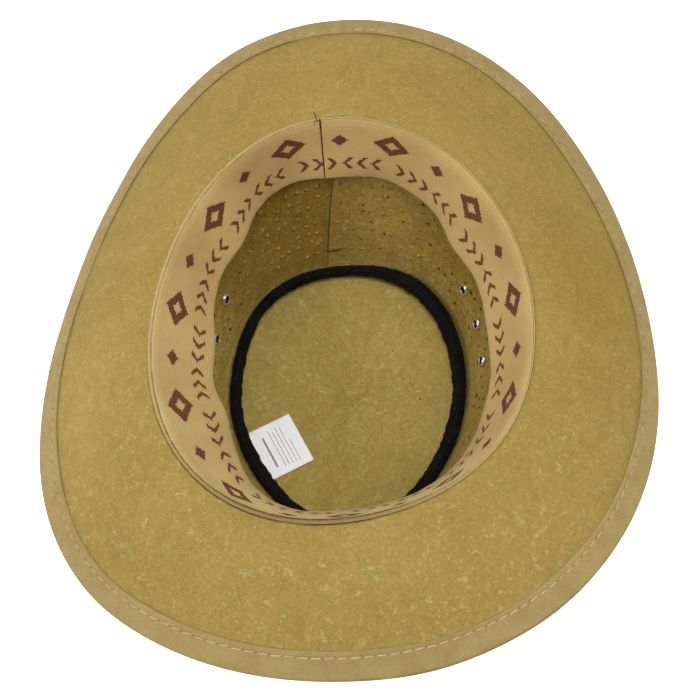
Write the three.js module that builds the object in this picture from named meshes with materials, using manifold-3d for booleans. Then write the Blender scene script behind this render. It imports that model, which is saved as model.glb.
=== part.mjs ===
// Safari hat of felt cloth, lying upside down on the flat top of its crown.
// Millimetres. +Z up towards the opening, -Y the front of the hat, +X its right in this pose.
import * as THREE from 'three';
import { mergeVertices } from 'three/addons/utils/BufferGeometryUtils.js';
import Module from 'manifold-3d';

// ---- driving dimensions --------------------------------------------------------------
const AROUND = 72;              // facets round the hat
const OPENING_Z = 103.6;        // height of the head opening above the crown's flat top
const OPENING_HALF_WIDTH = 91.3;
const OPENING_HALF_LENGTH = 105.8;
const OPENING_SADDLE = 3.0;     // sides of the opening lie lower, front and back higher
const OPENING_TILT_X = 0.0007;  // rise per mm towards +X
const OPENING_TILT_Y = 0.0053;  // rise per mm towards the back
// departures of the opening from an ellipse, as fractions of its radius
const OPENING_WAVES = [
  { order: 2, cos: 0.0, sin: 0.0224 },
  { order: 3, cos: 0.0108, sin: -0.0202 },
  { order: 4, cos: -0.0054, sin: -0.0022 },
  { order: 5, cos: -0.0025, sin: 0.0025 },
];
const TIP_CENTRE_X = 3.2;
const TIP_CENTRE_Y = 6.4;
const TIP_HALF_WIDTH = 57.1;    // to the centre of the cord over the tip seam
const TIP_HALF_LENGTH = 70.4;
const TIP_WAVES = [
  { order: 2, cos: 0.0, sin: 0.0119 },
  { order: 3, cos: -0.0012, sin: 0.0237 },
  { order: 4, cos: -0.0039, sin: 0.0002 },
  { order: 5, cos: 0.0, sin: -0.0089 },
  { order: 6, cos: 0.0011, sin: 0.0024 },
];
const GAP = 0.3;                // between pieces that are sewn together
const TIP_THICKNESS = 2.2;
const WALL_THICKNESS = 2.0;
const WALL_BULGE = 1.4;         // how far the side wall bellies out at mid height
const BRIM_THICKNESS = 2.4;
const BRIM_WIDTH = 73.3;        // along the surface, from the opening to the bound edge
const BINDING_WIDTH = 13.7;     // visible width of the tape
const BINDING_THICKNESS = 0.8;
const BAND_WIDTH = 37.0;
const BAND_THICKNESS = 1.2;
const CORD_RADIUS = 3.35;
const CORD_SWELL = 0.3;         // thicker by this at the hat's right, thinner at its left
const LABEL = { x: -31.9, y: -24.6, width: 26.4, length: 28.4, thickness: 0.5, turn: 0.483 };
const EYELET = { flange: 3.25, barrel: 2.3, bore: 1.7, hole: 2.6, plate: 0.5 };

// one row every 15 degrees, anticlockwise from +X seen from above
// brimIn, brimOut: slope of the brim towards the crown at the opening and at the edge, degrees
// bandLean: lean of the sweatband inwards from the vertical, degrees
const STATIONS = [
  { brimIn: 8.3, brimOut: 54.9, bandLean: 30.0 },
  { brimIn: 14.6, brimOut: 52.0, bandLean: 29.2 },
  { brimIn: 21.7, brimOut: 43.3, bandLean: 27.4 },
  { brimIn: 22.7, brimOut: 34.8, bandLean: 30.3 },
  { brimIn: 16.1, brimOut: 28.8, bandLean: 20.2 },
  { brimIn: 5.0, brimOut: 29.9, bandLean: 16.3 },
  { brimIn: 5.0, brimOut: 30.3, bandLean: 22.0 },
  { brimIn: 12.1, brimOut: 34.6, bandLean: 16.3 },
  { brimIn: 25.9, brimOut: 42.7, bandLean: 18.1 },
  { brimIn: 29.8, brimOut: 54.0, bandLean: 33.7 },
  { brimIn: 35.0, brimOut: 55.2, bandLean: 31.7 },
  { brimIn: 33.7, brimOut: 58.6, bandLean: 40.2 },
  { brimIn: 30.3, brimOut: 58.7, bandLean: 48.2 },
  { brimIn: 30.0, brimOut: 52.2, bandLean: 50.0 },
  { brimIn: 27.5, brimOut: 42.0, bandLean: 58.1 },
  { brimIn: 11.7, brimOut: 39.1, bandLean: 48.8 },
  { brimIn: -12.8, brimOut: 38.2, bandLean: 35.1 },
  { brimIn: -18.9, brimOut: 32.0, bandLean: 28.1 },
  { brimIn: -12.2, brimOut: 26.7, bandLean: 27.2 },
  { brimIn: 9.1, brimOut: 14.6, bandLean: 25.0 },
  { brimIn: 17.7, brimOut: 10.4, bandLean: 23.8 },
  { brimIn: 19.7, brimOut: 22.6, bandLean: 24.3 },
  { brimIn: 12.6, brimOut: 37.5, bandLean: 27.4 },
  { brimIn: 7.7, brimOut: 48.9, bandLean: 29.7 },
];

// eyelets: direction from the hat's axis in degrees, and height above the crown's flat top
const EYELETS = [
  { name: 'eyelet_right_1', angle: 39.4, z: 28.8 },
  { name: 'eyelet_right_2', angle: 25.1, z: 25.5 },
  { name: 'eyelet_right_3', angle: 9.2, z: 23.1 },
  { name: 'eyelet_left_1', angle: 145.7, z: 30.3 },
  { name: 'eyelet_left_2', angle: 162.4, z: 25.4 },
  { name: 'eyelet_left_3', angle: 177.5, z: 27.0 },
];

// ---- shape functions -----------------------------------------------------------------
const TAU = 2 * Math.PI;
const rad = (d) => (d * Math.PI) / 180;

// smooth periodic value of a column of STATIONS at angle a
function station(column, a) {
  const n = STATIONS.length;
  const u = ((((a / TAU) % 1) + 1) % 1) * n;
  const i = Math.floor(u);
  const t = u - i;
  const [p, q, r, s] = [-1, 0, 1, 2].map((k) => STATIONS[(i + k + n) % n][column]);
  return q + 0.5 * t * (r - p + t * (2 * p - 5 * q + 4 * r - s + t * (3 * (q - r) + s - p)));
}

function oval(a, halfWidth, halfLength, waves) {
  const r = 1 / Math.hypot(Math.cos(a) / halfWidth, Math.sin(a) / halfLength);
  return r * waves.reduce((k, w) => k + w.cos * Math.cos(w.order * a) + w.sin * Math.sin(w.order * a), 1);
}

// head opening: the brim's upper inner edge
function opening(a) {
  const r = oval(a, OPENING_HALF_WIDTH, OPENING_HALF_LENGTH, OPENING_WAVES);
  const x = r * Math.cos(a);
  const y = r * Math.sin(a);
  const z = OPENING_Z - OPENING_SADDLE * Math.cos(2 * a) + OPENING_TILT_X * x + OPENING_TILT_Y * y;
  return new THREE.Vector3(x, y, z);
}

const cordRadius = (a) => CORD_RADIUS + CORD_SWELL * Math.cos(a);

// loop round the tip, offset outwards from the cord's centre line
function tipLoop(a, offset, z) {
  const at = (b) => {
    const r = oval(b, TIP_HALF_WIDTH, TIP_HALF_LENGTH, TIP_WAVES);
    return new THREE.Vector3(TIP_CENTRE_X + r * Math.cos(b), TIP_CENTRE_Y + r * Math.sin(b), z);
  };
  return at(a).addScaledVector(outward(at, a), offset);
}

// horizontal outward direction of a closed plan curve
function outward(curve, a) {
  const d = curve(a + 0.01).sub(curve(a - 0.01));
  return new THREE.Vector3(d.y, -d.x, 0).normalize();
}

// point of the brim: s along its surface from the opening, h above its upper face
function brimPoint(a, s, h) {
  const n = outward(opening, a);
  const a0 = rad(station('brimIn', a));
  const a1 = rad(station('brimOut', a));
  const steps = 12;
  let out = 0;
  let down = 0;
  for (let i = 0; i < steps; i++) {
    const phi = a0 + ((a1 - a0) * (i + 0.5) * s) / steps / BRIM_WIDTH;
    out += (Math.cos(phi) * s) / steps;
    down += (Math.sin(phi) * s) / steps;
  }
  const end = a0 + ((a1 - a0) * s) / BRIM_WIDTH;
  const p = opening(a).addScaledVector(n, out + h * Math.sin(end));
  p.z += h * Math.cos(end) - down;
  return p;
}

// inner face of the crown's side wall, t from 0 at the tip seam to 1 under the brim
function wallInner(a, t) {
  const foot = tipLoop(a, cordRadius(a) + 0.5, 0);
  const top = opening(a);
  const drop = BRIM_THICKNESS / Math.cos(rad(station('brimIn', a))) + 1.6 * GAP;
  const z0 = TIP_THICKNESS + GAP;
  const p = foot.clone().lerp(top, t);
  p.z = z0 + (top.z - drop - z0) * t;
  const n = outward(opening, a);
  const turnIn = 1.5 * Math.max(0, 1 - (p.z - z0) / 5) ** 2;
  return p.addScaledVector(n, WALL_BULGE * Math.sin(Math.PI * t ** 0.8) - turnIn);
}

function wallOuter(a, t) {
  const n = outward(opening, a);
  const p = wallInner(a, t);
  const q = wallInner(a, Math.min(1, t + 0.02)).sub(wallInner(a, Math.max(0, t - 0.02)));
  const run = q.dot(n);
  const k = Math.hypot(run, q.z);
  p.addScaledVector(n, (WALL_THICKNESS * q.z) / k);
  if (t > 0 && t < 1) p.z -= (WALL_THICKNESS * run) / k;
  if (t === 1) p.z -= WALL_THICKNESS * Math.tan(rad(station('brimIn', a)));
  return p;
}

// ---- solids --------------------------------------------------------------------------
// closed ring: one closed section at each angle, its points anticlockwise seen with
// the outward direction to the right and +Z up
function ringSolid(section, around = AROUND) {
  const sections = Array.from({ length: around }, (_, i) => section((i / around) * TAU));
  const m = sections[0].length;
  const position = sections.flat().flatMap((p) => [p.x, p.y, p.z]);
  const index = [];
  for (let i = 0; i < around; i++) {
    for (let j = 0; j < m; j++) {
      const a = i * m + j;
      const b = i * m + ((j + 1) % m);
      const c = ((i + 1) % around) * m + j;
      const d = ((i + 1) % around) * m + ((j + 1) % m);
      index.push(a, c, b, b, c, d);
    }
  }
  const g = new THREE.BufferGeometry();
  g.setAttribute('position', new THREE.Float32BufferAttribute(position, 3));
  g.setIndex(index);
  g.computeVertexNormals();
  return g;
}

// closed disc: loops from the underside's middle out and back to the upper side's middle
function discSolid(loops, bottom, top, around = AROUND) {
  const position = [bottom.x, bottom.y, bottom.z];
  loops.forEach((loop) => {
    for (let i = 0; i < around; i++) {
      const p = loop((i / around) * TAU);
      position.push(p.x, p.y, p.z);
    }
  });
  position.push(top.x, top.y, top.z);
  const last = 1 + loops.length * around;
  const index = [];
  for (let i = 0; i < around; i++) {
    const k = (i + 1) % around;
    index.push(0, 1 + k, 1 + i);
    for (let j = 0; j + 1 < loops.length; j++) {
      const a = 1 + j * around;
      const b = a + around;
      index.push(a + i, a + k, b + i, a + k, b + k, b + i);
    }
    const e = 1 + (loops.length - 1) * around;
    index.push(last, e + i, e + k);
  }
  const g = new THREE.BufferGeometry();
  g.setAttribute('position', new THREE.Float32BufferAttribute(position, 3));
  g.setIndex(index);
  g.computeVertexNormals();
  return g;
}

const brimSteps = [0, 12, 24, 36, 48, BRIM_WIDTH - BINDING_WIDTH, BRIM_WIDTH - 7.2, BRIM_WIDTH - 1.4];
function brimSection(a) {
  const lower = brimSteps.map((s) => brimPoint(a, s, -BRIM_THICKNESS));
  lower[0] = opening(a);
  lower[0].z -= BRIM_THICKNESS / Math.cos(rad(station('brimIn', a)));
  const upper = brimSteps.map((s) => brimPoint(a, s, 0));
  return [...lower, ...upper.reverse()];
}

function bindingSection(a) {
  const start = BRIM_WIDTH - BINDING_WIDTH;
  const mid = BRIM_WIDTH - 7.2;
  const felt = BRIM_WIDTH - 1.4;
  const t = BINDING_THICKNESS;
  const low = -BRIM_THICKNESS;
  return [
    [start, low - GAP], [start + 0.3, low - GAP - t], [mid, low - GAP - t],
    [felt + 0.2, low - GAP - t], [BRIM_WIDTH, low + 0.4], [BRIM_WIDTH, -0.4],
    [felt + 0.2, GAP + t], [mid, GAP + t], [start + 0.3, GAP + t], [start, GAP],
    [mid, GAP], [felt + GAP, GAP], [felt + GAP, low - GAP], [mid, low - GAP],
  ].map(([s, h]) => brimPoint(a, s, h));
}

const bandSteps = [0, 9, 18, 27, BAND_WIDTH];
function bandSection(a) {
  const n = outward(opening, a);
  const lean = rad(station('bandLean', a));
  const at = (s, h) => {
    const p = opening(a).addScaledVector(n, -1.2 - s * Math.sin(lean) + h * Math.cos(lean));
    p.z += 0.2 - s * Math.cos(lean) - h * Math.sin(lean);
    return p;
  };
  const half = BAND_THICKNESS / 2;
  return [
    ...bandSteps.slice().reverse().map((s) => at(s, half)),
    ...bandSteps.map((s) => at(s, -half)),
  ];
}

function cordSection(a) {
  const r = cordRadius(a);
  const z = TIP_THICKNESS + 2 * GAP + LABEL.thickness + r;
  return Array.from({ length: 8 }, (_, k) => {
    const b = ((k + 0.5) / 8) * TAU;
    const p = tipLoop(a, r * Math.cos(b), z);
    p.z += r * Math.sin(b);
    return p;
  });
}

const wallSteps = [0, 0.04, 0.25, 0.5, 0.75, 1];
function wallSection(a) {
  return [
    ...wallSteps.map((t) => wallOuter(a, t)),
    ...wallSteps.slice().reverse().map((t) => wallInner(a, t)),
  ];
}

function eyeletGeometry() {
  const e = EYELET;
  const half = WALL_THICKNESS / 2 + GAP;
  const profile = [
    [e.bore, -half - e.plate], [e.flange - 0.4, -half - e.plate], [e.flange, -half - 0.1],
    [e.flange - 0.1, -half], [e.barrel, -half], [e.barrel, half], [e.flange - 0.1, half],
    [e.flange, half + 0.1], [e.flange - 0.4, half + e.plate], [e.bore, half + e.plate],
    [e.bore, -half - e.plate],
  ].map(([x, y]) => new THREE.Vector2(x, y));
  return new THREE.LatheGeometry(profile, 16);
}

// middle of the wall and its outward normal in a given direction and height
function wallFrame(angle, z) {
  const a = rad(angle);
  let t = 0.3;
  for (let i = 0; i < 20; i++) t += (z - wallInner(a, t).z) / 100;
  const mid = (b, u) => wallInner(b, u).add(wallOuter(b, u)).multiplyScalar(0.5);
  const along = mid(a + 0.03, t).sub(mid(a - 0.03, t));
  const up = mid(a, t + 0.03).sub(mid(a, t - 0.03));
  return { point: mid(a, t), normal: along.cross(up).normalize() };
}

const wasm = await Module();
wasm.setup();
function toManifold(geometry) {
  const g = geometry.clone();
  g.deleteAttribute('normal');
  if (g.attributes.uv) g.deleteAttribute('uv');
  const merged = mergeVertices(g, 1e-4);
  return new wasm.Manifold(new wasm.Mesh({
    numProp: 3,
    vertProperties: new Float32Array(merged.attributes.position.array),
    triVerts: new Uint32Array(merged.index.array),
  }));
}
function fromManifold(solid) {
  const m = solid.getMesh();
  const g = new THREE.BufferGeometry();
  g.setAttribute('position', new THREE.Float32BufferAttribute(m.vertProperties, 3));
  g.setIndex(Array.from(m.triVerts));
  g.computeVertexNormals();
  return g;
}

// ---- materials -----------------------------------------------------------------------
const felt = new THREE.MeshStandardMaterial({ color: 0xae9755, roughness: 0.92, metalness: 0 });
const tape = new THREE.MeshStandardMaterial({ color: 0xb8a070, roughness: 0.85, metalness: 0 });
const band = new THREE.MeshStandardMaterial({ color: 0xc8aa73, roughness: 0.88, metalness: 0 });
const cord = new THREE.MeshStandardMaterial({ color: 0x17171a, roughness: 0.8, metalness: 0 });
const paper = new THREE.MeshStandardMaterial({ color: 0xe8e8e6, roughness: 0.6, metalness: 0 });
const metal = new THREE.MeshStandardMaterial({ color: 0xb9b9b4, roughness: 0.3, metalness: 1 });

// ---- assembly ------------------------------------------------------------------------
const hat = new THREE.Group();
hat.name = 'safari_hat';
function piece(name, geometry, material) {
  const mesh = new THREE.Mesh(geometry, material);
  mesh.name = name;
  hat.add(mesh);
  return mesh;
}

piece('brim', ringSolid(brimSection), felt);
piece('brim_binding', ringSolid(bindingSection), tape);
piece('sweatband', ringSolid(bandSection), band);
piece('seam_binding', ringSolid(cordSection), cord);

// crown tip: flat underside at z = 0, edge rounded up to the seam
const tipFlat = new THREE.Vector3(TIP_CENTRE_X, TIP_CENTRE_Y, 0);
piece('crown_tip', discSolid([
  (a) => tipLoop(a, cordRadius(a) - 0.8, 0),
  (a) => tipLoop(a, cordRadius(a) + 0.5, 0.5),
  (a) => tipLoop(a, cordRadius(a) + 1, 1.3),
  (a) => tipLoop(a, cordRadius(a) + 1, TIP_THICKNESS),
], tipFlat, tipFlat.clone().setZ(TIP_THICKNESS)), felt);

// side wall, with a round hole for each eyelet
let wall = toManifold(ringSolid(wallSection));
const bar = new THREE.Vector3(0, 1, 0);
EYELETS.forEach(({ name, angle, z }) => {
  const { point, normal } = wallFrame(angle, z);
  const turn = new THREE.Quaternion().setFromUnitVectors(bar, normal);
  const drill = new THREE.CylinderGeometry(EYELET.hole, EYELET.hole, 12, 14);
  drill.applyQuaternion(turn).translate(point.x, point.y, point.z);
  wall = wall.subtract(toManifold(drill));
  const mesh = piece(name, eyeletGeometry(), metal);
  mesh.position.copy(point);
  mesh.quaternion.copy(turn);
});
piece('crown_side', fromManifold(wall), felt);

// label: a small flat rectangle, one side under the cord
const outline = new THREE.Shape();
const [lw, ll] = [LABEL.width / 2, LABEL.length / 2];
outline.moveTo(-lw, -ll).lineTo(lw, -ll).lineTo(lw, ll).lineTo(-lw, ll).closePath();
const label = piece('label', new THREE.ExtrudeGeometry(outline, {
  depth: LABEL.thickness, bevelEnabled: false,
}), paper);
label.position.set(LABEL.x, LABEL.y, TIP_THICKNESS + GAP);
label.rotation.z = LABEL.turn;

// the origin is under the middle of the whole hat
const box = new THREE.Box3().setFromObject(hat);
hat.position.set(-(box.min.x + box.max.x) / 2, -(box.min.y + box.max.y) / 2, 0);
hat.updateMatrixWorld(true);

export default hat;
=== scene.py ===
# Safari hat of felt cloth, lying upside down on the flat top of its crown.
# Shapes are worked out in millimetres in the model's own frame, then placed in metres.
import math
import bpy
import numpy as np
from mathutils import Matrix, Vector


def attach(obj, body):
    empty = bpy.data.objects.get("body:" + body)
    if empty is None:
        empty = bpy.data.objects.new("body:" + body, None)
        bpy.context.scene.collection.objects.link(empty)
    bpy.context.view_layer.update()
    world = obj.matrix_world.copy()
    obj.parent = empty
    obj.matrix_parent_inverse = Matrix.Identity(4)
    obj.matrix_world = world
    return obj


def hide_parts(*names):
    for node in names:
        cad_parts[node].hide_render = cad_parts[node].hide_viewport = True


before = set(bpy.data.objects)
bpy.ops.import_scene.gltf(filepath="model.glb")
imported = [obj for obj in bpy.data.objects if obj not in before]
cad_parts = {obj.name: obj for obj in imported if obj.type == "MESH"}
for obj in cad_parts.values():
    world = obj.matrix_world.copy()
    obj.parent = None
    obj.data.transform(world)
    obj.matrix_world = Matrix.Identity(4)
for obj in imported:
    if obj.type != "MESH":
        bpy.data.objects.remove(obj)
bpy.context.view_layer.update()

TAU = 2 * math.pi
RNG = np.random.default_rng(20)
SHIFT = np.array([-4.0775, -1.2938, 0.0])   # puts the middle of the hat over the origin

# ---- dimensions, the same as the solid model's ---------------------------------------
OPENING_Z = 103.6
OPENING_HALF_WIDTH = 91.3
OPENING_HALF_LENGTH = 105.8
OPENING_SADDLE = 3.0
OPENING_TILT_X = 0.0007
OPENING_TILT_Y = 0.0053
OPENING_WAVES = [(2, 0.0, 0.0224), (3, 0.0108, -0.0202), (4, -0.0054, -0.0022), (5, -0.0025, 0.0025)]
TIP_CENTRE = (3.2, 6.4)
TIP_HALF_WIDTH = 57.1
TIP_HALF_LENGTH = 70.4
TIP_WAVES = [(2, 0.0, 0.0119), (3, -0.0012, 0.0237), (4, -0.0039, 0.0002), (5, 0.0, -0.0089), (6, 0.0011, 0.0024)]
GAP = 0.3
TIP_THICKNESS = 2.2
WALL_THICKNESS = 2.0
WALL_BULGE = 1.4
BRIM_THICKNESS = 2.4
BRIM_WIDTH = 73.3
BINDING_WIDTH = 13.7
BINDING_THICKNESS = 0.8
BAND_WIDTH = 37.0
BAND_THICKNESS = 1.2
CORD_RADIUS = 3.35
CORD_SWELL = 0.3                # thicker by this at the hat's right, thinner at its left
CORD_FLOOR = TIP_THICKNESS + 2 * GAP + 0.5
LABEL = dict(x=-31.9, y=-24.6, width=26.4, length=28.4, turn=0.483)
SEAM = math.radians(96.05)     # where the sweatband's ends meet, at the back

# slope of the brim towards the crown at the opening and at the edge, and lean of the sweatband, degrees
STATIONS = [
    (8.3, 54.9, 30.0), (14.6, 52.0, 29.2), (21.7, 43.3, 27.4), (22.7, 34.8, 30.3),
    (16.1, 28.8, 20.2), (5.0, 29.9, 16.3), (5.0, 30.3, 22.0), (12.1, 34.6, 16.3),
    (25.9, 42.7, 18.1), (29.8, 54.0, 33.7), (35.0, 55.2, 31.7), (33.7, 58.6, 40.2),
    (30.3, 58.7, 48.2), (30.0, 52.2, 50.0), (27.5, 42.0, 58.1), (11.7, 39.1, 48.8),
    (-12.8, 38.2, 35.1), (-18.9, 32.0, 28.1), (-12.2, 26.7, 27.2), (9.1, 14.6, 25.0),
    (17.7, 10.4, 23.8), (19.7, 22.6, 24.3), (12.6, 37.5, 27.4), (7.7, 48.9, 29.7),
]
BRIM_IN, BRIM_OUT, BAND_LEAN = 0, 1, 2

# waves of the sweatband's free edge: how far it stands inwards of its plain shape, mm, every 5 degrees
BAND_WAVES = [
    -0.1, 0.4, 1.2, 0.8, 0.5, 0.7, 1.2, 1.7, 1.8, 1.2, -0.4, -0.6, 0.1, 0.8, 0.9, 0.2, -0.2, -0.6,
    -0.6, 0.7, 0.9, 0.5, 0.6, 1.1, 1.8, 1.2, 0.9, 0.3, 0.1, 0.2, 0.7, 0.5, 0.1, -0.2, 0.7, 1.4,
    1.3, 0.9, 0.4, 0.1, 0, 0, 0, 0, 0, 0, 0, 0, 0, 0, 0, 0, 0, 0,
    0, 0, 0, 0, 0, 0, 0, 0, 0, 0, 0, 0, 0, -0.1, -0.3, -1.0, -1.2, -0.5,
]

EYELETS = [
    ("eyelet_right_1", 39.4, 28.8), ("eyelet_right_2", 25.1, 25.5), ("eyelet_right_3", 9.2, 23.1),
    ("eyelet_left_1", 145.7, 30.3), ("eyelet_left_2", 162.4, 25.4), ("eyelet_left_3", 177.5, 27.0),
]


# ---- shape functions ------------------------------------------------------------------
def station(column, a):
    v = np.array([row[column] for row in STATIONS])
    n = len(v)
    u = np.mod(a / TAU, 1.0) * n
    i = np.floor(u).astype(int)
    t = u - i
    p, q, r, s = v[(i - 1) % n], v[i % n], v[(i + 1) % n], v[(i + 2) % n]
    return q + 0.5 * t * (r - p + t * (2 * p - 5 * q + 4 * r - s + t * (3 * (q - r) + s - p)))


def oval(a, half_width, half_length, waves):
    r = 1 / np.hypot(np.cos(a) / half_width, np.sin(a) / half_length)
    return r * (1 + sum(c * np.cos(k * a) + s * np.sin(k * a) for k, c, s in waves))


def opening(a):
    r = oval(a, OPENING_HALF_WIDTH, OPENING_HALF_LENGTH, OPENING_WAVES)
    x, y = r * np.cos(a), r * np.sin(a)
    z = OPENING_Z - OPENING_SADDLE * np.cos(2 * a) + OPENING_TILT_X * x + OPENING_TILT_Y * y
    return np.stack([x, y, z], -1)


def outward(curve, a):
    d = curve(a + 0.01) - curve(a - 0.01)
    n = np.stack([d[..., 1], -d[..., 0], np.zeros_like(d[..., 0])], -1)
    return n / np.linalg.norm(n, axis=-1, keepdims=True)


def cord_radius(a):
    return CORD_RADIUS + CORD_SWELL * np.cos(a)


def tip_curve(a):
    r = oval(a, TIP_HALF_WIDTH, TIP_HALF_LENGTH, TIP_WAVES)
    return np.stack([TIP_CENTRE[0] + r * np.cos(a), TIP_CENTRE[1] + r * np.sin(a), np.zeros_like(a)], -1)


def tip_loop(a, offset, z):
    """offset and z may be arrays of the shape of a"""
    p = tip_curve(a) + outward(tip_curve, a) * np.asarray(offset)[..., None]
    p[..., 2] = z
    return p


def brim_point(a, s, h):
    """a, s and h broadcast together; s along the surface from the opening, h above the upper face"""
    a, s, h = np.broadcast_arrays(*(np.asarray(v, float) for v in (a, s, h)))
    n = outward(opening, a)
    a0 = np.radians(station(BRIM_IN, a))
    a1 = np.radians(station(BRIM_OUT, a))
    k = (a1 - a0) / BRIM_WIDTH
    k = np.where(np.abs(k) < 1e-6, 1e-6, k)
    end = a0 + k * s
    out = (np.sin(end) - np.sin(a0)) / k
    down = (np.cos(a0) - np.cos(end)) / k
    p = opening(a) + n * (out + h * np.sin(end))[..., None]
    p[..., 2] += h * np.cos(end) - down
    return p


def wall_inner(a, t):
    a, t = np.broadcast_arrays(*(np.asarray(v, float) for v in (a, t)))
    foot = tip_loop(a, cord_radius(a) + 0.5, 0.0)
    top = opening(a)
    drop = BRIM_THICKNESS / np.cos(np.radians(station(BRIM_IN, a))) + 1.6 * GAP
    z0 = TIP_THICKNESS + GAP
    p = foot * (1 - t)[..., None] + top * t[..., None]
    p[..., 2] = z0 + (top[..., 2] - drop - z0) * t
    n = outward(opening, a)
    turn_in = 1.5 * np.maximum(0, 1 - (p[..., 2] - z0) / 5) ** 2
    return p + n * (WALL_BULGE * np.sin(math.pi * np.clip(t, 0, 1) ** 0.8) - turn_in)[..., None]


def wall_frame(a, t):
    """point of the inner face, unit outward normal, unit vector round, unit vector up the wall"""
    e = 0.01
    p = wall_inner(a, t)
    along = wall_inner(a + e, t) - wall_inner(a - e, t)
    up = wall_inner(a, np.minimum(t + e, 1)) - wall_inner(a, np.maximum(t - e, 0))
    along /= np.linalg.norm(along, axis=-1, keepdims=True)
    up /= np.linalg.norm(up, axis=-1, keepdims=True)
    n = np.cross(along, up)
    n /= np.linalg.norm(n, axis=-1, keepdims=True)
    return p, n, along, up


def band_point(a, s, h):
    """sweatband: s down the band from its sewn edge, h towards the wall from its middle surface"""
    a, s, h = np.broadcast_arrays(*(np.asarray(v, float) for v in (a, s, h)))
    n = outward(opening, a)
    lean = np.radians(station(BAND_LEAN, a))
    p = opening(a) + n * (-1.2 - s * np.sin(lean) + h * np.cos(lean))[..., None]
    p[..., 2] += 0.2 - s * np.cos(lean) - h * np.sin(lean)
    return p


def noise_at(u, v, cells, seed):
    """smooth random field from -1 to 1 at any u, periodic from 0 to 1, and v from 0 to 1"""
    n0, n1 = cells
    g = np.random.default_rng(seed).uniform(-1, 1, (n0, n1 + 3))
    u, v = np.broadcast_arrays(np.mod(u, 1.0) * n0, np.clip(v, 0, 1) * n1)
    i, j = np.floor(u).astype(int), np.floor(v).astype(int)
    tu, tv = u - i, v - j
    su, sv = tu * tu * (3 - 2 * tu), tv * tv * (3 - 2 * tv)
    i0, i1 = i % n0, (i + 1) % n0
    return (g[i0, j] * (1 - su) + g[i1, j] * su) * (1 - sv) + (g[i0, j + 1] * (1 - su) + g[i1, j + 1] * su) * sv


def smooth_noise(shape, cells, seed):
    """the same field on an even grid, periodic along the first axis"""
    return noise_at(np.arange(shape[0])[:, None] / shape[0], np.linspace(0, 1, shape[1])[None], cells, seed)


# ---- mesh helpers ---------------------------------------------------------------------
def to_metres(p):
    return (np.asarray(p, float).reshape(-1, 3) + SHIFT) / 1000.0


def new_object(name, verts, faces, mats, face_mat=None, uv=None, smooth=True, attrs=None):
    me = bpy.data.meshes.new(name)
    me.from_pydata(verts.tolist(), [], [list(map(int, f)) for f in faces])
    if uv is not None:
        layer = me.uv_layers.new(name="cloth")
        layer.uv.foreach_set("vector", np.asarray(uv, np.float32).ravel())
    for m in mats:
        me.materials.append(m)
    if face_mat is not None:
        me.polygons.foreach_set("material_index", np.asarray(face_mat, np.int32))
    me.polygons.foreach_set("use_smooth", np.full(len(me.polygons), smooth))
    for key, values in (attrs or {}).items():
        layer = me.attributes.new(key, "FLOAT", "POINT")
        layer.data.foreach_set("value", np.asarray(values, np.float32).ravel())
    me.validate()
    me.update()
    ob = bpy.data.objects.new(name, me)
    bpy.context.scene.collection.objects.link(ob)
    return ob


def signed_volume(verts, faces):
    f = np.asarray(faces)
    v = verts[f]
    return np.einsum("ij,ij->i", v[:, 0], np.cross(v[:, 1], v[:, 2])).sum() + (
        np.einsum("ij,ij->i", v[:, 0], np.cross(v[:, 2], v[:, 3])).sum() if f.shape[1] == 4 else 0)


def ring_object(name, P, mats, U=None, V=None, face_mat=None, attrs=None):
    """closed loop of closed sections P[around, section, xyz] in mm; U and V are cloth coordinates in mm"""
    na, m = P.shape[:2]
    verts = to_metres(P)
    i, j = np.meshgrid(np.arange(na), np.arange(m), indexing="ij")
    i2, j2 = (i + 1) % na, (j + 1) % m
    F = np.stack([i * m + j, i2 * m + j, i2 * m + j2, i * m + j2], -1).reshape(-1, 4)
    uv = None
    if U is not None:
        UU = np.stack([U[i], U[i + 1], U[i + 1], U[i]], -1)
        VV = np.stack([V[j], V[j], V[j + 1], V[j + 1]], -1)
        uv = np.stack([UU, VV], -1).reshape(-1, 4, 2) / 1000.0
    if signed_volume(verts, F) < 0:
        F = F[:, ::-1]
        uv = None if uv is None else uv[:, ::-1]
    fm = None if face_mat is None else face_mat[i, j].reshape(-1)
    return new_object(name, verts, F, mats, fm, None if uv is None else uv.reshape(-1, 2), True, attrs)


def strip_object(name, P, mats, U=None, V=None, attrs=None):
    """open run of closed sections, capped at both ends"""
    na, m = P.shape[:2]
    verts = to_metres(P)
    i, j = np.meshgrid(np.arange(na - 1), np.arange(m), indexing="ij")
    j2 = (j + 1) % m
    F = np.stack([i * m + j, (i + 1) * m + j, (i + 1) * m + j2, i * m + j2], -1).reshape(-1, 4)
    UU = np.stack([U[i], U[i + 1], U[i + 1], U[i]], -1)
    VV = np.stack([V[j], V[j], V[j + 1], V[j + 1]], -1)
    uv = np.stack([UU, VV], -1).reshape(-1, 4, 2) / 1000.0
    half = m // 2
    k = np.arange(half - 1)
    cap0 = np.stack([k, k + 1, m - 2 - k, m - 1 - k], -1)
    cap1 = (cap0 + (na - 1) * m)[:, ::-1]
    cu = lambda c, u: np.stack([np.full(c.shape, u), V[c % m]], -1) / 1000.0
    F = np.concatenate([F, cap0, cap1])
    uv = np.concatenate([uv, cu(cap0, U[0]), cu(cap1, U[-1])])
    if signed_volume(verts, F) < 0:
        F = F[:, ::-1]
        uv = uv[:, ::-1]
    return new_object(name, verts, F, mats, None, uv.reshape(-1, 2), True, attrs)


def unit(v):
    return v / np.maximum(np.linalg.norm(v, axis=-1, keepdims=True), 1e-9)


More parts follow.
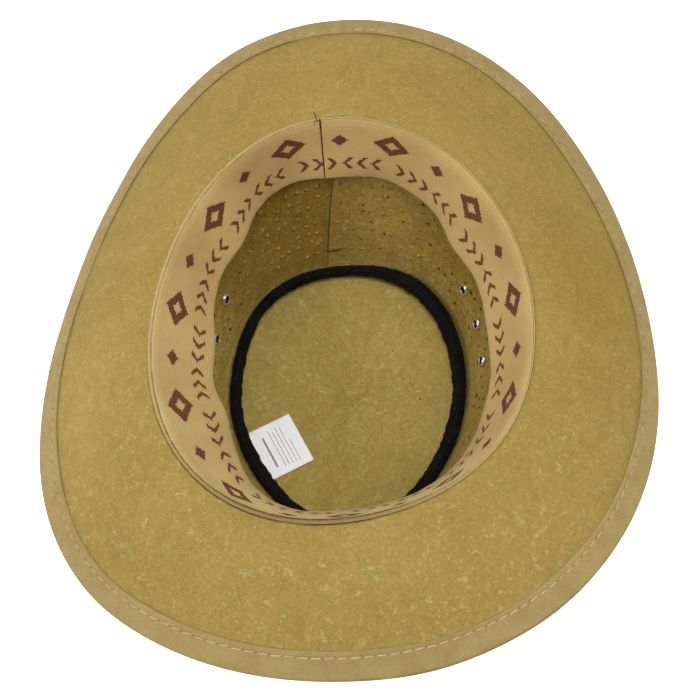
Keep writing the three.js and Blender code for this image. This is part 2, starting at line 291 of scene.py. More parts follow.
def stitches_object(name, mid, along, normal, length, width, height, mats, sides=8, rows=7, bend=0.0, pale=None):
    """threads lying on a surface: one flattened, tapering bead for each stitch, its ends dipping in"""
    n = len(mid)
    length = np.broadcast_to(length, (n,))
    side = unit(np.cross(normal, along))
    t = np.linspace(-1, 1, rows)
    ring = np.arange(sides) / sides * TAU
    r = np.sqrt(np.maximum(0, 1 - np.abs(t) ** 3.2)) * 0.96 + 0.04
    r[0] = r[-1] = 0.12
    lift = -0.55 * height * np.abs(t) ** 2.5 + bend
    P = (mid[:, None, None, :]
         + along[:, None, None, :] * (length[:, None, None] / 2 * t[None, :, None])[..., None]
         + side[:, None, None, :] * (width / 2 * r[None, :, None] * np.cos(ring)[None, None, :])[..., None]
         + normal[:, None, None, :] * (lift[None, :, None] + height / 2 * r[None, :, None] * np.sin(ring)[None, None, :])[..., None])
    verts = to_metres(P)
    base = (np.arange(n) * rows * sides)[:, None, None]
    i, j = np.meshgrid(np.arange(rows - 1), np.arange(sides), indexing="ij")
    F = np.stack([i * sides + j, i * sides + (j + 1) % sides, (i + 1) * sides + (j + 1) % sides, (i + 1) * sides + j], -1).reshape(1, -1, 4)
    F = (F + base).reshape(-1, 4)
    faces = F.tolist()
    for k in range(n):
        b = k * rows * sides
        faces.append([b + q for q in range(sides)][::-1])
        faces.append([b + (rows - 1) * sides + q for q in range(sides)])
    v = verts.reshape(n, rows, sides, 3)[0].reshape(-1, 3)
    c = v.mean(0)
    if signed_volume(v - c, F[: (rows - 1) * sides]) < 0:
        faces = [f[::-1] for f in faces]
    attrs = None if pale is None else {"pale": np.repeat(pale, rows * sides)}
    return new_object(name, verts, faces, mats, attrs=attrs)


def tube_object(name, runs, radius, mats, sides=7):
    """short free threads: each run is an array of points in mm"""
    V, F, base = [], [], 0
    for pts in runs:
        pts = np.asarray(pts, float)
        d = unit(np.gradient(pts, axis=0))
        up = np.array([0.3, 0.2, 0.93])
        s1 = unit(np.cross(d, up))
        s2 = np.cross(d, s1)
        ring = np.arange(sides) / sides * TAU
        r = radius * np.clip(np.minimum(np.arange(len(pts)) + 0.35, len(pts) - 0.65 - np.arange(len(pts))), 0.3, 1)
        P = pts[:, None] + (s1[:, None] * np.cos(ring)[None, :, None] + s2[:, None] * np.sin(ring)[None, :, None]) * r[:, None, None]
        V.append(P.reshape(-1, 3))
        for i in range(len(pts) - 1):
            for j in range(sides):
                F.append([base + i * sides + j, base + i * sides + (j + 1) % sides, base + (i + 1) * sides + (j + 1) % sides, base + (i + 1) * sides + j])
        F.append([base + j for j in range(sides)][::-1])
        F.append([base + (len(pts) - 1) * sides + j for j in range(sides)])
        base += len(pts) * sides
    return new_object(name, to_metres(np.concatenate(V)), F, mats)


def resample(fn, count=None, pitch=None, start=0.0, span=TAU, dense=4000):
    """angles at equal steps of length along the closed curve fn(a)"""
    a = start + np.linspace(0, span, dense)
    p = fn(a)
    d = np.concatenate([[0], np.cumsum(np.linalg.norm(np.diff(p, axis=0), axis=1))])
    if count is None:
        count = int(round(d[-1] / pitch))
    return np.interp(np.arange(count) / count * d[-1], d, a), d[-1], count


# ---- materials ------------------------------------------------------------------------
def srgb(r, g, b):
    f = lambda c: ((c / 255 + 0.055) / 1.055) ** 2.4 if c > 10.3 else c / 255 / 12.92
    return (f(r), f(g), f(b), 1.0)


class Mat:
    """small helper for a node material"""

    def __init__(self, name, roughness=0.9, metallic=0.0, sheen=0.0, specular=0.5):
        m = bpy.data.materials.new(name)
        m.use_nodes = True
        self.m, self.t = m, m.node_tree
        self.b = self.t.nodes["Principled BSDF"]
        self.b.inputs["Roughness"].default_value = roughness
        self.b.inputs["Metallic"].default_value = metallic
        self.b.inputs["Specular IOR Level"].default_value = specular
        if sheen:
            self.b.inputs["Sheen Weight"].default_value = sheen
            self.b.inputs["Sheen Roughness"].default_value = 0.5
        m.diffuse_color = (0.5, 0.5, 0.5, 1)

    def node(self, kind, **values):
        n = self.t.nodes.new(kind)
        for k, v in values.items():
            if hasattr(n, k):
                setattr(n, k, v)
            else:
                n.inputs[k.replace("_", " ")].default_value = v
        return n

    def link(self, a, b):
        self.t.links.new(a, b)

    def coords(self, scale=1.0, stretch=(1, 1, 1), uv=False):
        """object or cloth coordinates, in millimetres times scale"""
        if uv:
            src = self.node("ShaderNodeUVMap", uv_map="cloth").outputs["UV"]
        else:
            src = self.node("ShaderNodeTexCoord").outputs["Object"]
        mp = self.node("ShaderNodeMapping")
        mp.inputs["Scale"].default_value = tuple(1000.0 * scale * s for s in stretch)
        self.link(src, mp.inputs["Vector"])
        return mp.outputs["Vector"]

    def noise(self, vec, scale, detail=3.0, rough=0.55, distortion=0.0):
        n = self.node("ShaderNodeTexNoise")
        n.inputs["Scale"].default_value = scale
        n.inputs["Detail"].default_value = detail
        n.inputs["Roughness"].default_value = rough
        n.inputs["Distortion"].default_value = distortion
        self.link(vec, n.inputs["Vector"])
        return n.outputs["Fac"]

    def ramp(self, fac, lo, hi, out_lo=0.0, out_hi=1.0, smooth=True):
        n = self.node("ShaderNodeMapRange")
        n.interpolation_type = "SMOOTHSTEP" if smooth else "LINEAR"
        n.inputs["From Min"].default_value = lo
        n.inputs["From Max"].default_value = hi
        n.inputs["To Min"].default_value = out_lo
        n.inputs["To Max"].default_value = out_hi
        self.link(fac, n.inputs["Value"])
        return n.outputs["Result"]

    def math(self, op, a, b=None, c=None):
        n = self.node("ShaderNodeMath")
        n.operation = op
        for k, v in enumerate((a, b, c)):
            if v is None:
                continue
            if isinstance(v, (int, float)):
                n.inputs[k].default_value = v
            else:
                self.link(v, n.inputs[k])
        return n.outputs[0]

    def mix(self, fac, a, b, blend="MIX"):
        n = self.node("ShaderNodeMix")
        n.data_type = "RGBA"
        n.blend_type = blend
        for sock, v in ((n.inputs["Factor"], fac), (n.inputs["A"], a), (n.inputs["B"], b)):
            pass
        ins = {"Factor": n.inputs[0], "A": n.inputs[6], "B": n.inputs[7]}
        for key, v in (("Factor", fac), ("A", a), ("B", b)):
            if isinstance(v, (int, float)):
                ins[key].default_value = v
            elif isinstance(v, tuple):
                ins[key].default_value = v
            else:
                self.link(v, ins[key])
        return n.outputs[2]

    def bump(self, height, strength, distance, normal=None):
        n = self.node("ShaderNodeBump")
        n.inputs["Strength"].default_value = strength
        n.inputs["Distance"].default_value = distance
        self.link(height, n.inputs["Height"])
        if normal is not None:
            self.link(normal, n.inputs["Normal"])
        return n.outputs["Normal"]

    def scale(self, colour, factor):
        n = self.node("ShaderNodeVectorMath", operation="SCALE")
        self.link(colour, n.inputs[0])
        if isinstance(factor, (int, float)):
            n.inputs["Scale"].default_value = factor
        else:
            self.link(factor, n.inputs["Scale"])
        return n.outputs[0]

    def warp(self, vec, scale, amount):
        """the same coordinates, pushed about by a noise"""
        n = self.node("ShaderNodeTexNoise")
        n.inputs["Scale"].default_value = scale
        n.inputs["Detail"].default_value = 2.0
        self.link(vec, n.inputs["Vector"])
        off = self.node("ShaderNodeVectorMath", operation="SUBTRACT")
        off.inputs[1].default_value = (0.5, 0.5, 0.5)
        self.link(n.outputs["Color"], off.inputs[0])
        sc_ = self.node("ShaderNodeVectorMath", operation="SCALE")
        sc_.inputs["Scale"].default_value = amount
        self.link(off.outputs[0], sc_.inputs[0])
        add = self.node("ShaderNodeVectorMath", operation="ADD")
        self.link(vec, add.inputs[0])
        self.link(sc_.outputs[0], add.inputs[1])
        return add.outputs[0]

    def attribute(self, name):
        n = self.node("ShaderNodeAttribute")
        n.attribute_type = "GEOMETRY"
        n.attribute_name = name
        return n.outputs["Fac"]

    def colour(self, out):
        self.link(out, self.b.inputs["Base Color"])

    def finish(self, normal=None, rough=None):
        if normal is not None:
            self.link(normal, self.b.inputs["Normal"])
        if rough is not None:
            self.link(rough, self.b.inputs["Roughness"])
        return self.m


def felt_material(name, base, dark, pale, brown, contrast=1.0, flecks=1.0, front=True, warm=0.5, curls=0.42, specks=0.26):
    """matt felted cloth: mottled ground, pale fibre flecks and short curling fibres; painted shade in brown along
    creases, edges and seams, and painted light and shade by attribute
    """
    k = Mat(name, roughness=0.95, sheen=0.02, specular=0.2)
    v = k.coords()
    ground = k.noise(v, 0.028, 3.0, 0.6)
    cloud = k.noise(v, 0.16, 4.0, 0.62)
    grain = k.noise(v, 1.45, 3.0, 0.72)
    mid = k.noise(v, 0.62, 3.0, 0.6)
    c = k.mix(k.ramp(ground, 0.32, 0.68), dark, base)
    # the cloth is dyed fibre of several shades: patches lean to green or to brown
    hue = k.noise(v, 0.26, 3.0, 0.62)
    hue2 = k.noise(v, 0.75, 2.0, 0.6)
    green = tuple(q * f for q, f in zip(base[:3], (0.93, 1.02, 0.90))) + (1.0,)
    russet = tuple(q * f for q, f in zip(base[:3], (1.05, 0.97, 1.02))) + (1.0,)
    c = k.mix(k.ramp(hue, 0.50, 0.66, 0.0, 0.7), c, green)
    c = k.mix(k.ramp(hue, 0.48, 0.34, 0.0, warm), c, russet)
    c = k.mix(k.ramp(hue2, 0.54, 0.68, 0.0, 0.35), c, russet)
    c = k.scale(c, k.ramp(cloud, 0.25, 0.75, 1 - 0.08 * contrast, 1 + 0.08 * contrast, False))
    c = k.scale(c, k.ramp(mid, 0.25, 0.75, 1 - 0.12 * contrast, 1 + 0.12 * contrast, False))
    c = k.scale(c, k.ramp(grain, 0.25, 0.75, 1 - 0.15 * contrast, 1 + 0.15 * contrast, False))
    # flecks: soft ragged smudges of pale fibre, gathered in loose patches, larger and thicker towards the front
    w = k.warp(v, 0.55, 2.2)
    ragged = k.ramp(k.noise(v, 1.25, 3.0, 0.7), 0.40, 0.58)
    patch = k.ramp(k.noise(v, 0.05, 2.0, 0.5), 0.30, 0.65, 0.45, 1.0)
    big = k.math("MULTIPLY", k.ramp(k.noise(w, 0.25, 3.0, 0.66), 0.565, 0.67), ragged)
    big = k.math("MULTIPLY", big, patch)
    small = k.math("MULTIPLY", k.ramp(k.noise(k.warp(v, 1.1, 0.9), 0.62, 2.0, 0.6), 0.57, 0.70), ragged)
    speck = k.ramp(k.noise(v, 1.05, 1.0, 0.5), 0.66, 0.76)
    # single curling fibres: thin level lines of a noise, cut short by another
    curl = k.math("ABSOLUTE", k.math("SUBTRACT", k.noise(k.warp(v, 0.4, 1.6), 0.42, 1.0, 0.5), 0.5))
    short = k.ramp(k.noise(v, 0.33, 2.0, 0.6), 0.56, 0.64)
    curl = k.math("MULTIPLY", k.ramp(curl, 0.022, 0.006), short)
    if front:
        sep = k.node("ShaderNodeSeparateXYZ")
        k.link(v, sep.inputs[0])
        near = k.ramp(sep.outputs[1], 60.0, -120.0, 0.25, 1.0)
        big = k.math("MULTIPLY", big, near)
    total = k.math("ADD", k.math("MULTIPLY", big, 0.74 * flecks), k.math("MULTIPLY", small, 0.20 * flecks))
    total = k.math("ADD", total, k.math("MULTIPLY", speck, specks * flecks))
    total = k.math("ADD", total, k.math("MULTIPLY", curl, curls * flecks))
    c = k.mix(k.math("MINIMUM", total, 0.72), c, pale)
    # painted light and shade: darker or lighter by the painted_shading attribute
    c = k.scale(c, k.math("SUBTRACT", 1.0, k.attribute("painted_shading")))
    # warmer and browner where the rich attribute is set; on the crown wall this is part of the painted shade
    c = k.mix(k.attribute("rich"), c, (1.0, 0.95, 0.60, 1.0), "MULTIPLY")
    # the lip attribute paints a paler colour: the pale cut edge of the brim, plus painted light on the crown wall and
    # in a patch on the brim
    lip = k.math("MULTIPLY", k.attribute("lip"), k.ramp(k.noise(v, 0.9, 2.0, 0.6), 0.2, 0.6, 0.5, 1.0))
    c = k.mix(lip, c, srgb(182, 166, 112))
    # painted shade: brown where the crease_shade attribute is set
    crease_shade = k.math("MINIMUM", k.attribute("crease_shade"), 1.0)
    rough_edge = k.ramp(k.noise(v, 0.8, 2.0, 0.6), 0.2, 0.6, 0.45, 1.0)
    c = k.mix(k.math("MULTIPLY", crease_shade, rough_edge), c, brown)
    k.colour(c)
    fuzz = k.noise(v, 2.6, 3.0, 0.7)
    lump = k.noise(v, 0.55, 3.0, 0.65)
    nrm = k.bump(fuzz, 0.45 * contrast, 0.0002)
    nrm = k.bump(lump, 0.5 * contrast, 0.00035, nrm)
    return k.finish(nrm)


def tape_material(name, base, dark, pale, brown):
    """plain-woven tape: fine crossing yarns, slubs and soft shading"""
    k = Mat(name, roughness=0.9, sheen=0.04, specular=0.25)
    v = k.coords(uv=True)
    o = k.coords()
    sep = k.node("ShaderNodeSeparateXYZ")
    k.link(v, sep.inputs[0])
    u, w = sep.outputs[0], sep.outputs[1]
    wob = k.noise(v, 0.35, 2.0)
    warp = k.math("SINE", k.math("ADD", k.math("MULTIPLY", u, TAU / 0.74), k.math("MULTIPLY", wob, 2.5)))
    weft = k.math("SINE", k.math("ADD", k.math("MULTIPLY", w, TAU / 0.58), k.math("MULTIPLY", wob, 2.0)))
    weave = k.math("MULTIPLY", warp, weft)
    grain = k.noise(o, 1.35, 3.0, 0.7)
    slub = k.noise(k.coords(uv=True, stretch=(0.35, 1.6, 1.0)), 0.8, 2.0, 0.6)
    cloud = k.noise(o, 0.09, 3.0, 0.6)
    c = k.mix(k.ramp(cloud, 0.3, 0.7), dark, base)
    c = k.scale(c, k.ramp(weave, -0.9, 0.9, 0.93, 1.07, False))
    c = k.scale(c, k.ramp(grain, 0.25, 0.75, 0.82, 1.18, False))
    c = k.mix(k.ramp(slub, 0.58, 0.75, 0.0, 0.35), c, pale)
    # painted shade along the tape's turned edges and at its needle holes, and painted light and shade from
    # painted_shading
    crease_shade = k.math("MINIMUM", k.attribute("crease_shade"), 1.0)
    c = k.scale(c, k.math("SUBTRACT", 1.0, k.attribute("painted_shading")))
    c = k.mix(crease_shade, c, brown)
    k.colour(c)
    nrm = k.bump(weave, 0.5, 0.00012)
    nrm = k.bump(grain, 0.4, 0.0002, nrm)
    return k.finish(nrm)


def band_material(name, base, dark, pale, brown):
    """fine lengthwise-ribbed woven band with a plain geometric figure woven in"""
    k = Mat(name, roughness=0.9, sheen=0.04, specular=0.25)
    v = k.coords(uv=True)
    o = k.coords()
    sep = k.node("ShaderNodeSeparateXYZ")
    k.link(v, sep.inputs[0])
    u, w = sep.outputs[0], sep.outputs[1]
    wob = k.noise(v, 0.12, 3.0)
    rib = k.math("SINE", k.math("ADD", k.math("MULTIPLY", w, TAU / 1.55), k.math("MULTIPLY", wob, 2.4)))
    pick = k.math("SINE", k.math("MULTIPLY", u, TAU / 0.85))
    grain = k.noise(o, 1.4, 3.0, 0.68)
    cloud = k.noise(o, 0.05, 3.0, 0.55)
    c = k.mix(k.ramp(cloud, 0.3, 0.7), dark, base)
    row = k.math("ROUND", w)
    stagger = k.math("SINE", k.math("ADD", k.math("MULTIPLY", u, TAU / 1.25), k.math("MULTIPLY", row, 2.6)))
    calm = k.ramp(w, 3.0, 8.0, 0.35, 1.0)
    rib = k.math("MULTIPLY", rib, calm)
    c = k.scale(c, k.ramp(rib, -1.0, 1.0, 0.95, 1.04, False))
    c = k.scale(c, k.ramp(stagger, -1.0, 1.0, 0.955, 1.035, False))
    c = k.scale(c, k.ramp(grain, 0.25, 0.75, 0.90, 1.10, False))
    # sewn rim: paler and greener with frayed ends and a few dark specks
    fray = k.ramp(k.noise(o, 0.5, 2.0, 0.6), 0.30, 0.70, 0.6, 1.25, False)
    sewn = k.math("MINIMUM", k.math("MULTIPLY", k.attribute("rim"), fray), 1.0)
    speck = k.math("MULTIPLY", sewn, k.ramp(k.noise(o, 1.3, 1.0, 0.5), 0.60, 0.70, 0.0, 0.8))
    c = k.mix(k.math("MULTIPLY", sewn, 0.85), c, srgb(170, 157, 102))
    # painted light and shade: lighter or darker by the light attribute
    c = k.scale(c, k.math("ADD", 1.0, k.attribute("light")))
    c = k.mix(1.0, c, (1.0, 1.0, 0.93, 1.0), "MULTIPLY")
    c = k.mix(k.attribute("green"), c, (0.96, 1.07, 1.13, 1.0), "MULTIPLY")
    c = k.mix(k.math("MULTIPLY", speck, 0.45), c, srgb(96, 78, 40))
    # painted shade: dark brown where the crease_shade attribute is set
    crease_shade = k.math("MULTIPLY", k.attribute("crease_shade"), k.ramp(k.noise(o, 0.8, 2.0, 0.6), 0.2, 0.6, 0.5, 1.0))
    c = k.mix(k.math("MINIMUM", crease_shade, 1.0), c, srgb(92, 62, 28))
    # figure: lozenges large and small by turns, with rows of small arrowheads pointing away from the large ones
    step = lambda s, size: k.math("MULTIPLY", k.math("ROUND", k.math("DIVIDE", s, size)), size)
    us, ws = step(u, 0.65), step(w, 0.8)
    period = 52.0
    x = k.math("ABSOLUTE", k.math("SUBTRACT", k.math("MODULO", k.math("ADD", us, period * 2 + 9.0), period), period / 2))
    lozenge = lambda du, dw, ru, rw: k.math("LESS_THAN", k.math("ADD", k.math("DIVIDE", du, ru), k.math("DIVIDE", dw, rw)), 1.0)
    w1 = k.math("ABSOLUTE", k.math("SUBTRACT", ws, 12.8))
    big = k.math("SUBTRACT", lozenge(x, w1, 9.6, 6.8), lozenge(x, w1, 3.4, 2.5))
    far = k.math("SUBTRACT", period / 2, x)
    small = lozenge(far, w1, 4.4, 3.3)
    row = k.math("SUBTRACT", ws, 27.2)
    cell = k.math("DIVIDE", k.math("SUBTRACT", x, 3.0), 7.5)
    inside = k.math("MULTIPLY", k.math("GREATER_THAN", cell, 0.0), k.math("LESS_THAN", cell, 3.0))
    local = k.math("MULTIPLY", k.math("SUBTRACT", k.math("FRACT", cell), 0.5), 7.5)
    arm = k.math("ABSOLUTE", k.math("ADD", local, k.math("SUBTRACT", k.math("ABSOLUTE", row), 1.7)))
    arrow = k.math("MULTIPLY", k.math("LESS_THAN", arm, 1.25), k.math("LESS_THAN", k.math("ABSOLUTE", row), 3.5))
    arrow = k.math("MULTIPLY", arrow, inside)
    fig = k.math("MINIMUM", k.math("ADD", k.math("ADD", big, small), arrow), 1.0)
    ink = k.scale(k.mix(0.0, brown, brown), k.ramp(grain, 0.25, 0.75, 0.72, 1.25, False))
    ink = k.scale(ink, k.ramp(rib, -1.0, 1.0, 0.86, 1.12, False))
    c = k.mix(k.math("MULTIPLY", fig, 0.95), c, ink)
    k.colour(c)
    height = k.math("ADD", rib, k.math("MULTIPLY", pick, 0.35))
    nrm = k.bump(height, 0.3, 0.00012)
    nrm = k.bump(grain, 0.35, 0.0002, nrm)
    return k.finish(nrm)


def thread_material(name, colour, ground=None, rough=0.85):
    """sewing thread; where ground is given, stitches pulled down into the cloth take its colour"""
    k = Mat(name, roughness=rough, sheen=0.05, specular=0.25)
    o = k.coords()
    n1 = k.noise(o, 0.12, 2.0)
    n2 = k.noise(o, 3.0, 2.0, 0.7)
    first = colour
    if ground is not None:
        first = k.mix(k.attribute("pale"), ground, colour)
        c = k.scale(first, k.ramp(n1, 0.3, 0.7, 0.9, 1.06))
    else:
        c = k.mix(k.ramp(n1, 0.3, 0.7, 0.0, 0.25), colour, tuple(x * 0.62 for x in colour[:3]) + (1,))
    c = k.scale(c, k.ramp(n2, 0.25, 0.75, 0.86, 1.14, False))
    k.colour(c)
    return k.finish(k.bump(n2, 0.5, 0.00015))


def dark_material(name, colour):
    k = Mat(name, roughness=1.0, specular=0.1)
    n = k.noise(k.coords(), 2.0, 2.0)
    k.colour(k.mix(k.ramp(n, 0.3, 0.7), colour, tuple(x * 0.6 for x in colour[:3]) + (1,)))
    return k.finish()


def cord_material(name):
    """black knitted cord: dull yarn, with a faint grey painted highlight on the raised loops"""
    k = Mat(name, roughness=0.75, sheen=0.02, specular=0.12)
    o = k.coords()
    fibre = k.noise(o, 2.4, 3.0, 0.75)
    cloud = k.noise(o, 0.12, 2.0)
    c = k.mix(k.ramp(fibre, 0.45, 0.8), srgb(5, 5, 5), srgb(17, 16, 16))
    c = k.mix(k.ramp(cloud, 0.45, 0.75, 0.0, 0.3), c, srgb(14, 12, 10))
    # painted highlight: grey on the tops of the raised loops
    top = k.math("MULTIPLY", k.attribute("loop"), k.ramp(fibre, 0.42, 0.66))
    c = k.mix(k.math("MULTIPLY", top, 0.85), c, srgb(74, 72, 72))
    k.colour(c)
    return k.finish(k.bump(fibre, 0.6, 0.00015))


def label_material(name):
    """white label cloth, plain but for a few thin grey rules"""
    k = Mat(name, roughness=0.6, sheen=0.02, specular=0.4)
    v = k.coords(uv=True)
    sep = k.node("ShaderNodeSeparateXYZ")
    k.link(v, sep.inputs[0])
    u, w = sep.outputs[0], sep.outputs[1]
    fine = k.noise(v, 2.5, 2.0, 0.6)
    cloud = k.noise(v, 0.12, 2.0)
    c = k.mix(k.ramp(cloud, 0.3, 0.7), srgb(246, 248, 251), srgb(252, 253, 254))
    rules = None
    for at, thick, lo, hi in ((8.6, 1.0, 5.0, 22.5), (12.6, 0.3, 3.5, 25.0), (14.6, 0.3, 3.5, 23.2), (16.6, 0.3, 3.5, 25.0),
                              (18.6, 0.3, 3.5, 24.1), (20.6, 0.3, 3.5, 16.0)):
        on = k.math("LESS_THAN", k.math("ABSOLUTE", k.math("SUBTRACT", u, at)), thick / 2)
        on = k.math("MULTIPLY", on, k.math("GREATER_THAN", w, lo))
        on = k.math("MULTIPLY", on, k.math("LESS_THAN", w, hi))
        rules = on if rules is None else k.math("MAXIMUM", rules, on)
    c = k.mix(k.math("MULTIPLY", rules, 0.8), c, srgb(72, 73, 77))
    k.colour(c)
    weave = k.math("MULTIPLY", k.math("SINE", k.math("MULTIPLY", u, TAU / 0.3)), k.math("SINE", k.math("MULTIPLY", w, TAU / 0.3)))
    nrm = k.bump(weave, 0.25, 0.00005)
    return k.finish(k.bump(fine, 0.2, 0.0001, nrm))


def metal_material(name, bright, dull, roughness, metallic):
    """rolled steel, lightly scuffed"""
    k = Mat(name, roughness=roughness, metallic=metallic)
    o = k.coords()
    n = k.noise(o, 1.2, 4.0, 0.7)
    k.colour(k.mix(k.ramp(n, 0.3, 0.75), bright, dull))
    return k.finish(k.bump(n, 0.2, 0.0001), k.ramp(n, 0.3, 0.8, roughness - 0.06, roughness + 0.16))


BROWN_SHADE = srgb(84, 66, 24)
FELT = felt_material("felt_cloth", srgb(168, 143, 75), srgb(160, 135, 68), srgb(205, 187, 134), BROWN_SHADE, contrast=1.1)
FELT_IN = felt_material("felt_crown_cloth", srgb(168, 142, 66), srgb(158, 130, 54), srgb(204, 184, 128), srgb(58, 36, 14), contrast=2.35, flecks=1.0, front=False, warm=0.8)
FELT_TIP = felt_material("felt_tip_cloth", srgb(164, 143, 76), srgb(156, 135, 68), srgb(200, 186, 134), srgb(66, 48, 20), contrast=1.35, flecks=0.80, front=False, curls=0.06, specks=0.62)
# painted highlight: a lighter copy of the crown felt for the lit tops of the pin-hole bumps
FELT_HIGHLIGHT = felt_material("felt_painted_highlight", srgb(198, 174, 112), srgb(184, 158, 94), srgb(216, 198, 148), srgb(56, 34, 14), contrast=1.2, front=False)
TAPE = tape_material("binding_weave", srgb(177, 154, 98), srgb(167, 143, 88), srgb(199, 180, 126), srgb(84, 64, 24))
BAND = band_material("band_weave", srgb(213, 181, 124), srgb(203, 170, 112), srgb(218, 194, 146), srgb(104, 52, 34))
THREAD = thread_material("cream_thread", srgb(216, 198, 152), ground=srgb(180, 156, 108))
BAND_THREAD = thread_material("tan_thread", srgb(204, 190, 142))
FELT_THREAD = thread_material("olive_thread", srgb(172, 150, 86))
BROWN = thread_material("brown_thread", srgb(72, 42, 28))
FRAY = thread_material("frayed_fibre", srgb(104, 88, 50))
# painted shade: dark stand-ins for the shadowed insides of needle holes and pin holes
HOLE = dark_material("needle_hole", srgb(94, 68, 36))
PINHOLE = dark_material("pin_hole", srgb(66, 34, 18))
CORD = cord_material("black_knit")
LABEL_MAT = label_material("label_white")
METAL = metal_material("eyelet_steel", srgb(238, 236, 228), srgb(176, 172, 158), 0.22, 0.70)
# painted shade: dark metal for the shadowed throat of the eyelets
BORE = metal_material("eyelet_bore_shade", srgb(34, 30, 24), srgb(18, 15, 12), 0.6, 0.3)


def place(ob, slot, *nodes):
    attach(ob, "root")
    if nodes:
        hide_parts(*nodes)
    return ob


# ---- brim -------------------------------------------------------------------------------
def arc(a, centre, spread):
    """1 at the centre angle, falling away smoothly over spread, both in degrees"""
    d = np.mod(np.asarray(a) - math.radians(centre) + math.pi, TAU) - math.pi
    return np.exp(-(d / math.radians(spread)) ** 2)


def build_brim():
    na = 560
    a = np.arange(na) / na * TAU
    start = BRIM_WIDTH - BINDING_WIDTH
    felt_end = BRIM_WIDTH - 1.4
    top = np.concatenate([[0.0, 0.16, 0.5, 0.95, 1.25, 1.45, 1.6, 1.72, 1.84, 1.96, 2.1, 2.3, 2.6, 3.2], np.linspace(4.6, start - 2.0, 26),
                          np.linspace(start - 1.2, start + 1.0, 12), np.linspace(start + 2.2, felt_end - 0.5, 7)])
    wander = 0.10 * np.sin(9 * a + 1.0) + 0.08 * np.sin(23 * a)
    d = top[None] - 1.78 - wander[:, None]
    # cut edge of the opening: dropped a little, with a painted shadow line along it, sharp in front, softer at the
    # left, hardly there at the left back
    line_in = np.clip(0.15 + 0.60 * arc(a, 262, 42) + 0.45 * arc(a, 210, 30) + 0.45 * arc(a, 10, 55) + 0.1 * arc(a, 80, 30), 0, 1)
    h = np.zeros((na, len(top)))
    h[:, 0], h[:, 1], h[:, 2] = -0.30 - 0.14 * line_in, -0.10 - 0.12 * line_in, -0.04 * line_in
    h = h - 0.10 * np.exp(-((top[None] - 1.6) / 1.4) ** 2)
    und = 0.32 * smooth_noise((na, len(top)), (22, 4), 3) + 0.10 * smooth_noise((na, len(top)), (70, 12), 4)
    und *= np.clip((top - 2.5) / 12, 0, 1) * np.clip((start + 1 - top) / 8, 0.0, 1)
    upper = brim_point(a[:, None], top[None], h + und)
    line, waver = stitch_line(a)
    edge_d = top[None] - start - waver[:, None]
    # painted shadow of the tape's inner edge on the felt, broken, strongest at the back
    dark = np.clip(0.22 + 0.60 * arc(a, 95, 60) + 0.25 * arc(a, 165, 30) + 0.2 * arc(a, 15, 30), 0, 1)
    broken = np.clip(0.75 + 0.6 * noise_at(a / TAU, 0.5, (210, 1), 7), 0.25, 1.0)[:, None]
    crease_shade = (0.62 + 0.20 * arc(a, 90, 55)[:, None]) * broken * dark[:, None] * np.exp(-((edge_d + 0.08) / (0.26 + 0.12 * arc(a, 90, 55)[:, None])) ** 2)
    # painted shadow line along the cut edge, with a few dark specks
    ragged = 0.8 + 0.35 * noise_at(a / TAU, 0.5, (260, 1), 8)
    specks = np.clip((noise_at(a / TAU, 0.5, (420, 1), 9) - 0.62) * 4, 0, 1) * arc(a, 125, 45)
    reach = 0.28 + 0.50 * arc(a, 262, 42) + 0.25 * arc(a, 212, 26)
    rim = np.clip((line_in * ragged)[:, None] * np.exp(-((top[None] - 0.1) / reach[:, None]) ** 4) + specks[:, None] * np.exp(-((top[None] - 0.4) / 0.5) ** 2), 0, 1)
    crease_shade = crease_shade + rim
    pale_lip = (0.55 * np.clip(arc(a, 130, 50) + arc(a, 185, 30), 0, 1) * ragged)[:, None] * np.exp(-((top[None] - 0.1) / 0.5) ** 2)
    # painted shade near the opening at the front right
    crease_shade = crease_shade + 0.16 * np.clip(arc(a, 15, 55), 0, 1)[:, None] * np.exp(-((top[None] - 0.9) / 0.9) ** 2)
    f = top[None] / start
    # painted light and shade: broad darker and lighter patches on the brim
    painted_shading = 0.09 * arc(a, 232, 22)[:, None] * np.exp(-((f - 0.75) / 0.35) ** 2) + 0.08 * arc(a, 20, 26)[:, None] * np.exp(-((f - 0.6) / 0.4) ** 2) - 0.05 * arc(a, 190, 16)[:, None] * np.exp(-((f - 0.7) / 0.4) ** 2)
    painted_shading += 0.05 * arc(a, 255, 16)[:, None] * np.exp(-((f - 0.7) / 0.4) ** 2) - 0.05 * arc(a, 206, 13)[:, None] * np.exp(-((f - 0.85) / 0.3) ** 2)
    low = np.concatenate([[0.5, 2.2], np.linspace(4.6, start - 1.5, 24), np.linspace(start + 1, felt_end - 0.5, 5)])
    und2 = 0.25 * smooth_noise((na, len(low)), (22, 4), 5) * np.clip((low - 3) / 10, 0, 1) * np.clip((start + 1 - low) / 8, 0.0, 1)
    lower = brim_point(a[:, None], low[None], -BRIM_THICKNESS + und2)
    # the inner edge is cut upright, so it stays clear of the sweatband
    drop = BRIM_THICKNESS / np.cos(np.radians(station(BRIM_IN, a)))
    edge = opening(a)[:, None] - np.array([0, 0, 1.0]) * np.stack([drop - 0.3, drop * 0.5], -1)[..., None]
    outer = np.stack([brim_point(a, felt_end, -0.5), brim_point(a, felt_end + 0.05, -1.2), brim_point(a, felt_end, -1.9)], 1)
    P = np.concatenate([upper, outer, lower[:, ::-1], edge], 1)
    att = np.zeros(P.shape[:2])
    att[:, : len(top)] = crease_shade
    # painted shade on the upright cut face
    att[:, -2:] = 0.75
    pale, tone, rich = np.zeros(P.shape[:2]), np.zeros(P.shape[:2]), np.zeros(P.shape[:2])
